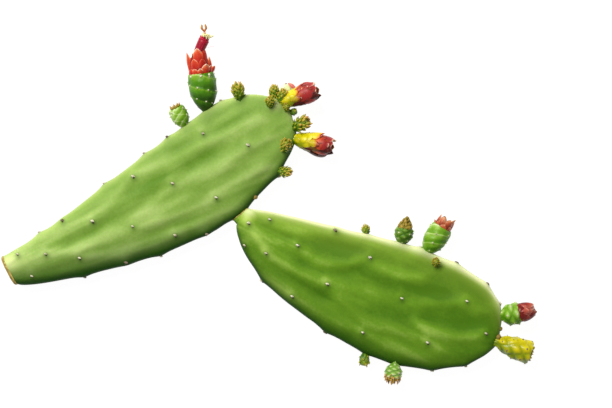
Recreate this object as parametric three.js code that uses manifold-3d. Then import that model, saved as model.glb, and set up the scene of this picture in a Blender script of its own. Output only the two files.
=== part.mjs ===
// A branch of prickly pear, as picked: two flat pads, the upper one grown from the edge of the lower one,
// with young buds, flower buds, one open flower and unripe fruit along their margins.
// The branch lies on the backs of its pads. Millimetres, +Z up, the origin on the surface under its middle.

import * as THREE from 'three';
import { mergeVertices } from 'three/addons/utils/BufferGeometryUtils.js';
import Module from 'manifold-3d';

const wasm = await Module();
wasm.setup();

const RADIAN = Math.PI / 180;

// Clearance between two pieces that grow from each other.
const GAP = 0.3;

// Pads. A section across a pad is a superellipse: power 2 is an ellipse, and more is flatter.
const SECTION_POWER = 2.4;
const PAD_RINGS = 38;
const PAD_SIDES = 28;
const FOLD_HEIGHT = 0.5;
const FOLDS_ROUND_A_PAD = 11;
const NECK_ROOT = 7;
const SCAR_THICKNESS = 2.4;
const SEAM_BULGE = 0.5;
const SEAM_THICKNESS = 1.5;

// Areoles: small woolly cushions, each on a low swelling of the pad.
const AREOLE = { radius: 2, height: 0.9, sides: 6 };
const AREOLE_SWELLING = { height: 0.6, reach: 6 };
const BUD_SWELLING = { height: 0.8, reach: 2, reachOfWidth: 0.35 };

// The lattice of areoles on a pad's back, which ends before the tip, the margins and the belly.
const BACK = { spacing: 38, halfWidth: 80, tip: 12, marginCosine: 0.93, clearance: 0.9 };

// The open flower. Its stamens lean to the flower's right, away from its axis.
const FLOWER_HEIGHT = 64.5;
const STAMENS = { from: 39.8, to: 54, radius: 3.3, sides: 10, lean: 7.2, leanTo: 58 };
const ANTHERS = { thick: 2, radius: 4.3, count: 7 };
const STYLE = { radius: 0.9, clearance: 0.3, to: 59.2 };
const STIGMA = { radius: 1.2, height: 0.8 };
const STIGMA_LOBES = { count: 6, u: 0.2, length: 4.6, breadth: 1.3, tilt: 24, bend: 0 };

// Widths and heights are given at equal steps of t, which runs from 0 at a pad's base to 1 at its tip.
// left and right are measured from the line through the base and the tip, half is half the thickness, and
// middle is the height of the pad's mid-plane. Areoles are [mm from the base, mm left of the line].
const lowerPad = {
  color: '#6f9a3c',
  base: [-195.1, -46.5],
  heading: 27,
  length: 239.5,
  left: [9.2, 9.4, 10.6, 14, 20.6, 27.2, 33.2, 37.7, 34.5, 22.5, 5],
  right: [14, 18, 24.2, 31.5, 39, 44.3, 44.2, 37, 26, 12.2, -5],
  half: [7, 7.6, 8.4, 9.1, 9.5, 9.6, 9.4, 8.9, 7.9, 5.4, 0],
  middle: [11.5, 10.9, 10.2, 9.7, 9.4, 9.3, 9.3, 9.6, 10.3, 11.6, 12.5],
  areoles: [
    [11, 5], [30, -4], [13, -14], [52, 12], [51, -18], [72, 2], [80, -36], [97, -15], [122, -35],
    [114, 18], [138, 0], [162, -24], [175, 23], [201, 0], [143, -44], [188, -36],
    [32, 20], [92, 30], [129, 36], [150, 32], [47, -40], [105, -50], [198, 45], [210, -32],
  ],
};

const upperPad = {
  color: '#5f9030',
  base: [-21.45, -7.5],
  heading: -24.35,
  length: 213.8,
  left: [6, 7.4, 11.6, 16.6, 22, 28.6, 32.4, 32.4, 26.2, 11, -8.5],
  right: [10.5, 16.4, 29, 41.2, 49, 54, 54.9, 48.8, 37.2, 22.2, 8.5],
  half: [5.2, 6.2, 7.8, 8.9, 9.4, 9.6, 9.4, 8.9, 7.8, 5.3, 0],
  middle: [10.2, 9.9, 9.6, 9.4, 9.3, 9.3, 9.3, 9.5, 10, 11, 11.6],
  areoles: [
    [8, -3], [21, 6], [12, -21], [29, -18], [48, -3], [60, -39], [80, -20], [69, 18], [101, 11],
    [119, -42], [135, -7], [166, -29], [180, 11], [203, -5],
    [35, -50], [94, -60], [162, 42], [189, 36], [203, 30], [178, -55], [133, 40], [199, -45], [212.5, 3],
  ],
};

// Buds: [name, kind, t, turn, heading, pitch, length, width]. turn says where round the pad the foot is: 0 on
// the left margin, 90 on the front, 180 on the right margin. heading is the bud's direction seen from above
// and pitch its rise, both in degrees. Where two buds crowd each other, the later one gives way.
const lowerBuds = [
  ['fruit_young', 'fruit', 0.624, 0, 117, 12, 18, 14],
  ['flower', 'open', 0.682, 0, 97.5, 9, FLOWER_HEIGHT, 22],
  ['bud_front_left', 'scaly', 0.777, 23, 103, 16, 14, 10.5],
  ['bud_tip_face', 'scaly', 0.867, 59, 99, 42, 12, 8],
  ['bud_tip_left', 'scaly', 0.905, 8, 102, 6, 12, 7.4],
  ['bud_tip_round', 'scaly', 0.948, 72, 95, 62, 8.5, 6.4],
  ['flower_bud_tip', 'ruffled', 0.927, 10, 18, 7, 30.5, 17.5],
  ['bud_tip_small', 'scaly', 0.917, 28, 74, 12, 11.5, 7.4],
  ['fruit_pale', 'pale', 0.93, 316, 76, -14, 17.5, 10.4],
  ['bud_tip_dot', 'knob', 0.99, 350, -4, -6, 6.6, 6.4],
  ['bud_tip_right', 'scaly', 0.935, 150, 36, 24, 15, 10.2],
  ['flower_bud_right', 'pointed', 0.905, 180, -11, 8, 29.6, 17],
  ['bud_face_right', 'scaly', 0.84, 141, 90, 52, 11, 9],
  ['bud_right', 'scaly', 0.785, 180, 0, 8, 10.5, 8],
];

const upperBuds = [
  ['bud_upper_dot', 'knob', 0.455, 0, 102, 6, 7, 6],
  ['bud_upper_left', 'conical', 0.535, 0, 77, 8, 20, 13],
  ['flower_bud_short', 'crowned', 0.595, 0, 58, 8, 29.5, 18.5],
  ['bud_upper_face', 'knob', 0.629, 37, 90, 60, 7, 6],
  ['flower_bud_closed', 'closed', 0.9, 0, 12, 8, 27.5, 16],
  ['fruit_yellow', 'yellow', 0.99, 0, -19, 4, 28.5, 16],
  ['fruit_light', 'spiky', 0.635, 170, -100, 10, 16.2, 13.4],
  ['bud_upper_right', 'scaly', 0.562, 180, -97, 6, 9.2, 7.6],
];

const GREEN = '#5c8f24';
const YOUNG_GREEN = '#7d8f2a';
const YELLOW = '#c3bd12';
const RED = '#b03434';
const ORANGE_RED = '#cf4a2c';
const CRIMSON = '#a80f35';
const CREAM = '#d9cf7a';
const BROWN = '#8c5a35';
const CORK = '#b39a5e';

// Outlines of bodies: radius shares at the foot and the top, height share of the belly, bluntness above it.
const OVAL = { foot: 0.5, belly: 0.45, top: 0, power: 2 };
const BARREL = { foot: 0.4, belly: 0.55, top: 0.72, power: 2.4 };
const RIM = { foot: 1, belly: 0.1, top: 0.5, power: 2 };
const POINT = { foot: 0.85, belly: 0.25, top: 0, power: 1.4 };
const TUBE = { foot: 1, belly: 0.2, top: 0.62, power: 1.6 };

// Pieces of each kind of bud. A body runs between two height shares of the bud. It has studs, which are
// scales or tubercles, in staggered rows: rise is how far they stand out and lean how far they point up, as
// shares of its radius. girth is its width as a share of the bud's. Each layer of tepals is a ring of blades
// whose length is a share of the bud's length and whose breadth is a share of its width. tilt is their slope
// away from the bud's axis, in degrees, and bend how far their tips curve in, as a share of their length.
const scales = { shape: OVAL, from: 0, to: 0.97, girth: 0.82, rows: 6, round: 5, rise: 0.22, lean: 0.12 };
const tubercles = { shape: BARREL, from: 0, girth: 0.94, rows: 6, round: 5, rise: 0.08, lean: 0.06 };
const smoothCore = { shape: POINT, rows: 3, round: 4, rise: 0, lean: 0 };

const budKinds = {
  scaly: [{ ending: '', color: YOUNG_GREEN, body: scales }],
  knob: [{ ending: '', color: YOUNG_GREEN, body: { ...scales, rows: 4 } }],
  fruit: [
    { ending: '', color: GREEN, body: { ...tubercles, to: 0.86 } },
    {
      ending: '_crown', color: BROWN,
      body: { ...smoothCore, shape: RIM, from: 0.86, to: 0.91, girth: 0.5 },
      layers: [{ count: 7, u: 0.2, length: 0.15, breadth: 0.2, tilt: 12, bend: 0 }],
    },
  ],
  pale: [
    { ending: '', color: '#a9c572', body: { ...tubercles, to: 0.78 } },
    {
      ending: '_tepals', color: RED,
      body: { ...smoothCore, shape: RIM, from: 0.78, to: 0.83, girth: 0.5 },
      layers: [{ count: 6, u: 0.2, length: 0.22, breadth: 0.25, tilt: 14, bend: 0 }],
    },
  ],
  spiky: [
    { ending: '', color: '#8fae3c', body: { ...tubercles, to: 0.7 } },
    {
      ending: '_scales', color: BROWN,
      body: { ...scales, shape: POINT, from: 0.7, to: 0.96, girth: 0.72, rows: 4, rise: 0.26, lean: 0.3 },
    },
  ],
  yellow: [
    {
      ending: '', color: YELLOW,
      body: { ...tubercles, shape: { ...BARREL, foot: 0.5 }, to: 0.95, rows: 7, round: 6 },
    },
    {
      ending: '_crown', color: BROWN,
      body: { ...smoothCore, shape: RIM, from: 0.95, to: 0.965, girth: 0.6 },
      layers: [{ count: 8, u: 0.1, length: 0.06, breadth: 0.16, tilt: 20, bend: 0 }],
    },
  ],
  conical: [
    { ending: '', color: GREEN, body: { ...tubercles, to: 0.6, round: 6 } },
    {
      ending: '_scales', color: BROWN,
      body: { ...scales, shape: POINT, from: 0.6, to: 1, girth: 0.76, rows: 5, rise: 0.14, lean: 0.25 },
    },
  ],
  crowned: [
    { ending: '', color: GREEN, body: { ...tubercles, to: 0.76, round: 6, ridged: true } },
    {
      ending: '_tepals', color: ORANGE_RED,
      body: { ...smoothCore, from: 0.76, to: 0.9, girth: 0.55 },
      layers: [
        { count: 7, u: 0.05, length: 0.14, breadth: 0.24, tilt: 42, bend: 0 },
        { count: 5, u: 0.2, length: 0.2, breadth: 0.3, tilt: 8, bend: 0 },
      ],
    },
  ],
  closed: [
    { ending: '', color: GREEN, body: { ...tubercles, to: 0.5, round: 6 } },
    {
      ending: '_tepals', color: RED,
      body: { ...smoothCore, from: 0.5, to: 0.95, girth: 0.82 },
      layers: [
        { count: 5, u: 0.03, length: 0.36, breadth: 0.6, tilt: 15, bend: 0.34 },
        { count: 4, u: 0.35, length: 0.34, breadth: 0.58, tilt: -6, bend: 0.22 },
      ],
    },
  ],
  ruffled: [
    { ending: '', color: YELLOW, body: { ...tubercles, to: 0.42, girth: 0.8 } },
    {
      ending: '_tepals', color: RED,
      body: { ...smoothCore, shape: TUBE, from: 0.42, to: 0.86, girth: 0.78 },
      layers: [
        { count: 5, u: 0.03, length: 0.36, breadth: 0.5, tilt: 12, bend: 0.08 },
        { count: 5, u: 0.5, length: 0.28, breadth: 0.44, tilt: 2, bend: 0.05 },
      ],
    },
  ],
  pointed: [
    { ending: '', color: YELLOW, body: { ...tubercles, to: 0.52, girth: 0.86 } },
    {
      ending: '_tepals', color: RED,
      body: { ...smoothCore, from: 0.52, to: 0.93, girth: 0.9 },
      layers: [
        { count: 5, u: 0.03, length: 0.36, breadth: 0.56, tilt: 14, bend: 0.2 },
        { count: 4, u: 0.4, length: 0.32, breadth: 0.5, tilt: -2, bend: 0.1 },
      ],
    },
  ],
  open: [
    {
      ending: '_ovary', color: GREEN,
      body: {
        ...tubercles, shape: { foot: 0.3, belly: 0.55, top: 0.8, power: 2.2 }, to: 0.44, rows: 6, round: 6,
        ridged: true,
      },
    },
    {
      ending: '_tepals', color: ORANGE_RED,
      body: { ...smoothCore, shape: { ...TUBE, top: 0.5 }, from: 0.44, to: 0.61, girth: 0.58 },
      layers: [
        { count: 7, u: 0.02, length: 0.1, breadth: 0.22, tilt: 48, bend: 0 },
        { count: 6, u: 0.04, length: 0.21, breadth: 0.28, tilt: 12, bend: 0 },
        { count: 5, u: 0.25, length: 0.22, breadth: 0.32, tilt: 2, bend: 0.04 },
      ],
    },
  ],
};

const SINK = 3;
const BLADE_THICKNESS = 1;

function smooth(values, t) {
  const last = values.length - 1;
  const place = THREE.MathUtils.clamp(t, 0, 1) * last;
  const i = Math.min(Math.floor(place), last - 1);
  const f = place - i;
  const [before, from, to, after] = [i - 1, i, i + 1, i + 2].map(
    (k) => values[THREE.MathUtils.clamp(k, 0, last)]);
  const linear = (to - before) * f;
  const square = (2 * before - 5 * from + 4 * to - after) * f ** 2;
  const cube = (after - before + 3 * (from - to)) * f ** 3;
  return from + (linear + square + cube) / 2;
}

function signedPower(value, power) {
  return Math.sign(value) * Math.abs(value) ** power;
}

// A point on a pad's plain surface, in the pad's own frame: x along it, y to its left and z up.
function padPoint(pad, t, turn) {
  const left = smooth(pad.left, t);
  const right = smooth(pad.right, t);
  const power = 2 / SECTION_POWER;
  return new THREE.Vector3(
    pad.length * (1 - Math.cos(Math.PI * t)) / 2,
    (left - right) / 2 + (left + right) / 2 * signedPower(Math.cos(turn * RADIAN), power),
    smooth(pad.middle, t) + smooth(pad.half, t) * signedPower(Math.sin(turn * RADIAN), power));
}

function padNormal(pad, t, turn) {
  const step = 0.01;
  const stepAround = 4;
  const at = THREE.MathUtils.clamp(t, 3 * step, 1 - step);
  const along = padPoint(pad, at + step, turn).sub(padPoint(pad, at - step, turn));
  const around = padPoint(pad, at, turn + stepAround).sub(padPoint(pad, at, turn - stepAround));
  return around.cross(along).normalize();
}

// Where a place given in millimetres along and across a pad's face lies in t and turn.
function facePlace(pad, [along, across], side) {
  const t = Math.acos(1 - 2 * along / pad.length) / Math.PI;
  const left = smooth(pad.left, t);
  const right = smooth(pad.right, t);
  const share = THREE.MathUtils.clamp((across - (left - right) / 2) / ((left + right) / 2), -1, 1);
  const turn = Math.acos(signedPower(share, SECTION_POWER / 2)) / RADIAN;
  return { t, turn: side * turn };
}

// The front's areoles as listed, and on the back a staggered lattice clear of the margins and of the belly,
// on which the branch lies.
function areolePlaces(pad) {
  const front = pad.areoles.map((place) => facePlace(pad, place, 1));
  const back = [];
  const step = BACK.spacing / 2;
  for (let row = 1; row * step < pad.length - BACK.tip; row += 1) {
    const stagger = (row % 2) * step;
    for (let across = stagger - BACK.halfWidth; across < BACK.halfWidth; across += BACK.spacing) {
      const place = facePlace(pad, [row * step, across], -1);
      const onFace = Math.abs(Math.cos(place.turn * RADIAN)) < BACK.marginCosine;
      if (onFace && padPoint(pad, place.t, place.turn).z > BACK.clearance) {
        back.push(place);
      }
    }
  }
  return [...front, ...back];
}

function listSwellings(pad, buds) {
  const { height, reach, reachOfWidth } = BUD_SWELLING;
  const areoles = areolePlaces(pad).map(({ t, turn }) => ({
    centre: padPoint(pad, t, turn), ...AREOLE_SWELLING,
  }));
  const feet = buds.map(([, , t, turn, , , , width]) => ({
    centre: padPoint(pad, t, turn), height, reach: reach + reachOfWidth * width,
  }));
  return [...areoles, ...feet];
}

// How far the real surface stands above the plain one: long folds that fan out from the base, and swellings.
function relief(pad, point, t, turn) {
  const fade = Math.sin(Math.PI * t) * Math.sin(turn * RADIAN) ** 2;
  const wander = 1.1 * Math.sin(2.3 * Math.PI * t + pad.heading);
  let height = FOLD_HEIGHT * fade * Math.cos(FOLDS_ROUND_A_PAD * turn * RADIAN + wander);
  for (const mound of pad.swellings) {
    height += mound.height * Math.exp(-point.distanceToSquared(mound.centre) / mound.reach ** 2);
  }
  return height;
}

// A point on a pad's real surface, moved out by swell.
function skinPoint(pad, t, turn, swell = 0) {
  const point = padPoint(pad, t, turn);
  const rise = relief(pad, point, t, turn) + swell;
  return point.addScaledVector(padNormal(pad, t, turn), rise);
}

// A closed body through rings with the same number of points; a ring of one point closes an end. crossed says
// which way a quad between two rings is split.
function loft(rings, crossed = () => false) {
  const positions = [];
  const index = [];
  const starts = rings.map((ring) => {
    const start = positions.length / 3;
    ring.forEach((point) => positions.push(point.x, point.y, point.z));
    return start;
  });
  for (let i = 0; i + 1 < rings.length; i += 1) {
    const near = rings[i].length;
    const far = rings[i + 1].length;
    for (let j = 0; j < Math.max(near, far); j += 1) {
      const [a, b] = [starts[i] + j % near, starts[i] + (j + 1) % near];
      const [c, d] = [starts[i + 1] + j % far, starts[i + 1] + (j + 1) % far];
      const other = near === far && crossed(i, j);
      if (near > 1) {
        index.push(a, b, other ? c : d);
      }
      if (far > 1) {
        index.push(other ? b : a, d, c);
      }
    }
  }
  const geometry = new THREE.BufferGeometry();
  geometry.setAttribute('position', new THREE.Float32BufferAttribute(positions, 3));
  geometry.setIndex(index);
  return geometry;
}

// A body turned round +Z through [radius, height] points.
function turned(profile, sides) {
  const points = profile.map(([radius, height]) => new THREE.Vector2(radius, height));
  return new THREE.LatheGeometry(points, sides).rotateX(Math.PI / 2);
}

function toSolid(geometry) {
  geometry.deleteAttribute('normal');
  geometry.deleteAttribute('uv');
  const merged = mergeVertices(geometry, 1e-4);
  const corners = merged.index.array;
  const triangles = [];
  for (let i = 0; i < corners.length; i += 3) {
    const [a, b, c] = [corners[i], corners[i + 1], corners[i + 2]];
    if (a !== b && b !== c && c !== a) {
      triangles.push(a, b, c);
    }
  }
  return new wasm.Manifold(new wasm.Mesh({
    numProp: 3,
    vertProperties: new Float32Array(merged.attributes.position.array),
    triVerts: new Uint32Array(triangles),
  }));
}

function join(solids) {
  return solids.reduce((whole, solid) => whole.add(solid));
}

function largestPiece(solid) {
  return solid.decompose().reduce((best, piece) => (piece.volume() > best.volume() ? piece : best));
}

function toMesh(name, solid, color, roughness = 0.6) {
  const { vertProperties, triVerts } = largestPiece(solid).getMesh();
  const geometry = new THREE.BufferGeometry();
  geometry.setAttribute('position', new THREE.BufferAttribute(vertProperties, 3));
  geometry.setIndex(new THREE.BufferAttribute(triVerts, 1));
  geometry.computeVertexNormals();
  const mesh = new THREE.Mesh(geometry, new THREE.MeshStandardMaterial({ color, roughness, metalness: 0 }));
  mesh.name = name;
  return mesh;
}

function padSection(pad, t, swell) {
  const turns = Array.from({ length: PAD_SIDES }, (unused, side) => 360 * side / PAD_SIDES);
  return turns.map((turn) => skinPoint(pad, t, turn, swell));
}

function centreOf(ring) {
  const sum = ring.reduce((total, point) => total.add(point), new THREE.Vector3());
  return sum.divideScalar(ring.length);
}

// A pad's solid, moved out by swell; root lengthens its neck back into what it grows from.
function padSolid(pad, { swell = 0, root = 0 } = {}) {
  const rings = Array.from({ length: PAD_RINGS }, (unused, i) => padSection(pad, i / PAD_RINGS, swell));
  if (root > 0) {
    rings.unshift(rings[0].map((point) => point.clone().setX(-root)));
  }
  const foot = centreOf(rings[0]);
  const tip = skinPoint(pad, 1, 0, 0).setX(pad.length + swell);
  return toSolid(loft([[foot], ...rings, [tip]]));
}

function areoleSolid(pad, { t, turn }) {
  const { radius, height, sides } = AREOLE;
  const dome = turned([[0, -radius], [radius, -height / 2], [0, height]], sides);
  const up = new THREE.Vector3(0, 0, 1);
  dome.applyQuaternion(new THREE.Quaternion().setFromUnitVectors(up, padNormal(pad, t, turn)));
  const place = skinPoint(pad, t, turn);
  return toSolid(dome.translate(place.x, place.y, place.z));
}

// The space under the surface that the branch lies on.
function groundSolid() {
  const [size, depth] = [900, 10];
  return toSolid(new THREE.BoxGeometry(size, size, depth).translate(0, 0, -depth / 2));
}

function placeGroup(pad) {
  const group = new THREE.Group();
  group.position.set(pad.base[0], pad.base[1], 0);
  group.rotation.z = pad.heading * RADIAN;
  group.updateMatrix();
  return group;
}

// Radius of a body at the height share u, as a share of its widest radius.
function outline(shape, u) {
  if (u < shape.belly) {
    return shape.foot + (1 - shape.foot) * Math.sin(Math.PI / 2 * u / shape.belly);
  }
  const rise = (u - shape.belly) / (1 - shape.belly);
  return shape.top + (1 - shape.top) * Math.max(1 - rise ** shape.power, 0) ** (1 / shape.power);
}

function circle(radius, height, sides) {
  return Array.from({ length: sides }, (unused, j) => {
    const angle = 2 * Math.PI * j / sides;
    return new THREE.Vector3(radius * Math.cos(angle), radius * Math.sin(angle), height);
  });
}

// A body round +Z whose surface is drawn out into staggered rows of points. ridged joins the points with
// ridges, and otherwise grooves part them.
function studdedBody({ shape, from, to, radius, rows, round, rise, lean, ridged = false, sink = 0 }) {
  const sides = 2 * round;
  const height = to - from;
  const raised = (i, j) => (i + j) % 2 === 1;
  const rings = [[new THREE.Vector3(0, 0, from - sink)], circle(shape.foot * radius, from - sink, sides)];
  const first = rings.length;
  for (let row = 0; row < rows; row += 1) {
    const share = (row + (sink > 0 ? 0.4 : 0)) / rows;
    const u = shape.top > 0 ? share : Math.sin(Math.PI / 2 * share);
    const plain = outline(shape, u) * radius;
    const studs = row > 0 || sink > 0 ? 1 : 0;
    rings.push(circle(1, 0, sides).map((ray, j) => {
      const stud = raised(first + row, j) ? studs : -studs / 2;
      const reach = plain + stud * rise * radius;
      return new THREE.Vector3(ray.x * reach, ray.y * reach, from + u * height + stud * lean * radius);
    }));
  }
  if (shape.top > 0) {
    rings.push(circle(shape.top * radius, to, sides));
  }
  rings.push([new THREE.Vector3(0, 0, to)]);
  return toSolid(loft(rings, (i, j) => raised(i, j) !== ridged));
}

// A scale or tepal: a thin pointed body from its root along forward, with a ridge that faces outward.
function bladeSolid({ root, forward, outward, length, width, bend }) {
  const side = new THREE.Vector3().crossVectors(forward, outward);
  const thick = BLADE_THICKNESS;
  const middle = root.clone().addScaledVector(forward, 0.45 * length);
  const section = [
    middle.clone().addScaledVector(outward, thick / 2),
    middle.clone().addScaledVector(side, width / 2).addScaledVector(outward, -thick / 2),
    middle.clone().addScaledVector(outward, -thick / 2),
    middle.clone().addScaledVector(side, -width / 2).addScaledVector(outward, -thick / 2),
  ];
  const heel = root.clone().addScaledVector(forward, -0.15 * length).addScaledVector(outward, -thick / 2);
  const tip = root.clone().addScaledVector(forward, length).addScaledVector(outward, -bend * length);
  return toSolid(loft([[heel], section, [tip]]));
}

// A ring of blades round a body, at its height share u.
function bladeRing({ shape, from, to, radius }, { count, u, length, breadth, tilt, bend }, twist) {
  const lean = tilt * RADIAN;
  return Array.from({ length: count }, (unused, k) => {
    const azimuth = 2 * Math.PI * (k + twist) / count;
    const ray = new THREE.Vector3(Math.cos(azimuth), Math.sin(azimuth), 0);
    const up = new THREE.Vector3(0, 0, 1);
    const forward = up.clone().multiplyScalar(Math.cos(lean)).addScaledVector(ray, Math.sin(lean));
    const outward = ray.clone().multiplyScalar(Math.cos(lean)).addScaledVector(up, -Math.sin(lean));
    const root = ray.clone().multiplyScalar(outline(shape, u) * radius).setZ(from + u * (to - from));
    return bladeSolid({ root, forward, outward, length, width: breadth, bend });
  });
}

// One piece of a bud. A piece above another starts a little above the flat top of the one below.
function budPiece({ body, layers = [] }, length, width) {
  const from = body.from * length + (body.from > 0 ? GAP : 0);
  const sized = {
    ...body, from, to: body.to * length, radius: body.girth * width / 2, sink: body.from > 0 ? 0 : SINK,
  };
  const blades = layers.flatMap((layer, i) => bladeRing(
    sized, { ...layer, length: layer.length * length, breadth: layer.breadth * width }, i / 2));
  const whole = join([studdedBody(sized), ...blades]);
  return body.from > 0 ? whole.trimByPlane([0, 0, 1], from) : whole;
}

// How far the middle of the stamens lies to the flower's right at a height.
function stamenLean(height) {
  const share = THREE.MathUtils.smoothstep(height, STAMENS.from, STAMENS.leanTo);
  return -STAMENS.lean * share;
}

function leaningRod(radiusAt, from, to, steps, sides) {
  const rings = Array.from({ length: steps + 1 }, (unused, i) => {
    const height = from + (to - from) * i / steps;
    const offset = new THREE.Vector3(0, stamenLean(height), height);
    return circle(1, 0, sides).map((ray, j) => ray.multiplyScalar(radiusAt(i / steps, j)).add(offset));
  });
  return toSolid(loft([[centreOf(rings[0])], ...rings, [centreOf(rings[steps])]]));
}

// The inside of the open flower: a bundle of filaments, anthers round its top, and a style with a stigma.
function flowerHeart() {
  const filaments = leaningRod(
    (share, j) => STAMENS.radius * (1 + 0.1 * share) * (j % 2 ? 1 : 0.84),
    STAMENS.from, STAMENS.to, 5, STAMENS.sides);
  const antherFoot = STAMENS.to + GAP;
  const offset = new THREE.Vector3(0, stamenLean(STAMENS.to), 0);
  const antherBody = studdedBody({
    shape: { foot: 0.8, belly: 0.5, top: 0.5, power: 2 }, from: antherFoot, to: antherFoot + ANTHERS.thick,
    radius: 0.85 * ANTHERS.radius, rows: 3, round: ANTHERS.count, rise: 0.18, lean: 0.1,
  }).translate(offset.toArray());
  const styleSides = 8;
  const rod = (radius, from, to) => leaningRod(() => radius, from, to, 1, styleSides);
  const hole = rod(STYLE.radius + STYLE.clearance, antherFoot - 1, antherFoot + ANTHERS.thick + 1);
  const style = rod(STYLE.radius, antherFoot, STYLE.to);
  const stigmaFoot = STYLE.to + GAP;
  const core = {
    shape: RIM, from: stigmaFoot, to: stigmaFoot + STIGMA.height, radius: STIGMA.radius,
    rows: 2, round: 3, rise: 0, lean: 0,
  };
  const lobes = bladeRing(core, STIGMA_LOBES, 0);
  const stigma = join([studdedBody(core), ...lobes]).translate(offset.toArray())
    .trimByPlane([0, 0, 1], stigmaFoot);
  return [
    toMesh('flower_filaments', filaments, CRIMSON),
    toMesh('flower_anthers', antherBody.subtract(hole), CREAM),
    toMesh('flower_style', style, ORANGE_RED),
    toMesh('flower_stigma', stigma, '#8a8a2c'),
  ];
}

// The direction and place of something that grows from a pad, as a group in the pad's frame.
function growFrom(pad, { t, turn, heading, pitch }) {
  const group = new THREE.Group();
  const flat = (heading - pad.heading) * RADIAN;
  const rise = pitch * RADIAN;
  const axis = new THREE.Vector3(
    Math.cos(flat) * Math.cos(rise), Math.sin(flat) * Math.cos(rise), Math.sin(rise));
  const side = new THREE.Vector3(-Math.sin(flat), Math.cos(flat), 0);
  const front = new THREE.Vector3().crossVectors(side, axis);
  group.quaternion.setFromRotationMatrix(new THREE.Matrix4().makeBasis(front, side, axis));
  group.position.copy(padPoint(pad, t, turn));
  group.updateMatrix();
  return group;
}

// Cuts a piece, which is in its group's frame, clear of what is already taken in the pad's frame.
function clearOf(taken, group, solid) {
  const toPiece = group.matrix.clone().invert();
  return taken.reduce((rest, cutter) => rest.subtract(cutter.transform(toPiece.elements)), solid);
}

function addBuds(padGroup, pad, padCutter, buds) {
  const taken = [padCutter];
  for (const [name, kind, t, turn, heading, pitch, length, width] of buds) {
    const group = growFrom(pad, { t, turn, heading, pitch });
    const pieces = budKinds[kind];
    for (const piece of pieces) {
      const solid = clearOf(taken, group, budPiece(piece, length, width));
      group.add(toMesh(name + piece.ending, solid, piece.color));
    }
    if (kind === 'open') {
      group.add(...flowerHeart());
    }
    padGroup.add(group);
    const swollen = pieces.map((piece) => budPiece(piece, length + 2 * GAP, width + 2 * GAP));
    taken.push(join(swollen).transform(group.matrix.elements));
  }
}

// The cork disc of the joint at which the lower pad was picked.
function scarSolid(pad) {
  const disc = (share, along) => {
    const ring = padSection(pad, 0, 0);
    const middle = centreOf(ring);
    return ring.map((point) => point.clone().sub(middle).multiplyScalar(share).add(middle).setX(-along));
  };
  const rings = [disc(0.84, SCAR_THICKNESS + GAP), disc(0.97, 0.8 * SCAR_THICKNESS), disc(1.02, GAP)];
  return toSolid(loft([[centreOf(rings[0])], ...rings, [centreOf(rings[2])]]));
}

const plant = new THREE.Group();
const ground = groundSolid();
lowerPad.swellings = listSwellings(lowerPad, lowerBuds);
upperPad.swellings = listSwellings(upperPad, upperBuds);

const lowerGroup = placeGroup(lowerPad);
const lowerAreoles = areolePlaces(lowerPad).map((place) => areoleSolid(lowerPad, place));
const lowerSolid = join([padSolid(lowerPad), ...lowerAreoles]).subtract(ground);
lowerGroup.add(toMesh('pad_lower', lowerSolid, lowerPad.color, 0.45));
lowerGroup.add(toMesh('joint_scar', scarSolid(lowerPad), CORK, 0.85));
addBuds(lowerGroup, lowerPad, padSolid(lowerPad, { swell: GAP }), lowerBuds);

const upperGroup = placeGroup(upperPad);
const upperAreoles = areolePlaces(upperPad).map((place) => areoleSolid(upperPad, place));
const lowerToUpper = upperGroup.matrix.clone().invert().multiply(lowerGroup.matrix);
const lowerSwollen = (swell) => padSolid(lowerPad, { swell }).transform(lowerToUpper.elements);
const upperSolid = join([padSolid(upperPad, { root: NECK_ROOT }), ...upperAreoles])
  .subtract(lowerSwollen(SEAM_THICKNESS + GAP)).subtract(ground);
upperGroup.add(toMesh('pad_upper', upperSolid, upperPad.color, 0.45));
addBuds(upperGroup, upperPad, padSolid(upperPad, { swell: GAP }), upperBuds);

const seamSolid = padSolid(upperPad, { swell: SEAM_BULGE, root: NECK_ROOT })
  .intersect(lowerSwollen(SEAM_THICKNESS)).subtract(lowerSwollen(GAP));
upperGroup.add(toMesh('joint_seam', seamSolid, CORK, 0.85));

plant.add(lowerGroup, upperGroup);

export default plant;
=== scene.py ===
"""A branch of prickly pear: two joined pads with buds, an open flower and unripe fruit, seen from above."""

import math
from collections import namedtuple

import bpy
import numpy as np
from mathutils import Matrix, Vector
from mathutils.bvhtree import BVHTree


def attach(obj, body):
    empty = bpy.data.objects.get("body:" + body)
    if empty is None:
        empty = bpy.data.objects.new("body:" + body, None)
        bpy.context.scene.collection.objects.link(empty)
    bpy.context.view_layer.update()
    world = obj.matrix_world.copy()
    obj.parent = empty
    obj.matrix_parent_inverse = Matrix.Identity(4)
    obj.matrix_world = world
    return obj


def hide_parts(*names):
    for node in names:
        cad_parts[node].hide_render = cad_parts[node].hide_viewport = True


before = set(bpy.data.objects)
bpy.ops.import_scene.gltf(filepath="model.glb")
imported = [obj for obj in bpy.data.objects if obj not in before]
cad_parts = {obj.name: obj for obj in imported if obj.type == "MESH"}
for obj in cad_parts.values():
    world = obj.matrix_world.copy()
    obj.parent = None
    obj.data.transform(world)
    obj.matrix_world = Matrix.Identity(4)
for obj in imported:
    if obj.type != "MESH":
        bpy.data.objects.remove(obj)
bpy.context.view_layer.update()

MM = 0.001
UP = np.array([0.0, 0.0, 1.0])
FLOOR_CLEARANCE = 0.02 * MM
GOLDEN_ANGLE = math.pi * (3 - math.sqrt(5))

# What the photograph's frame shows.
VIEW_CENTRE = (27.25, 0.8)
VIEW_WIDTH = 459.0
VIEW_HEIGHT = 10.0
LENS = 100.0
SENSOR = 36.0

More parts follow.
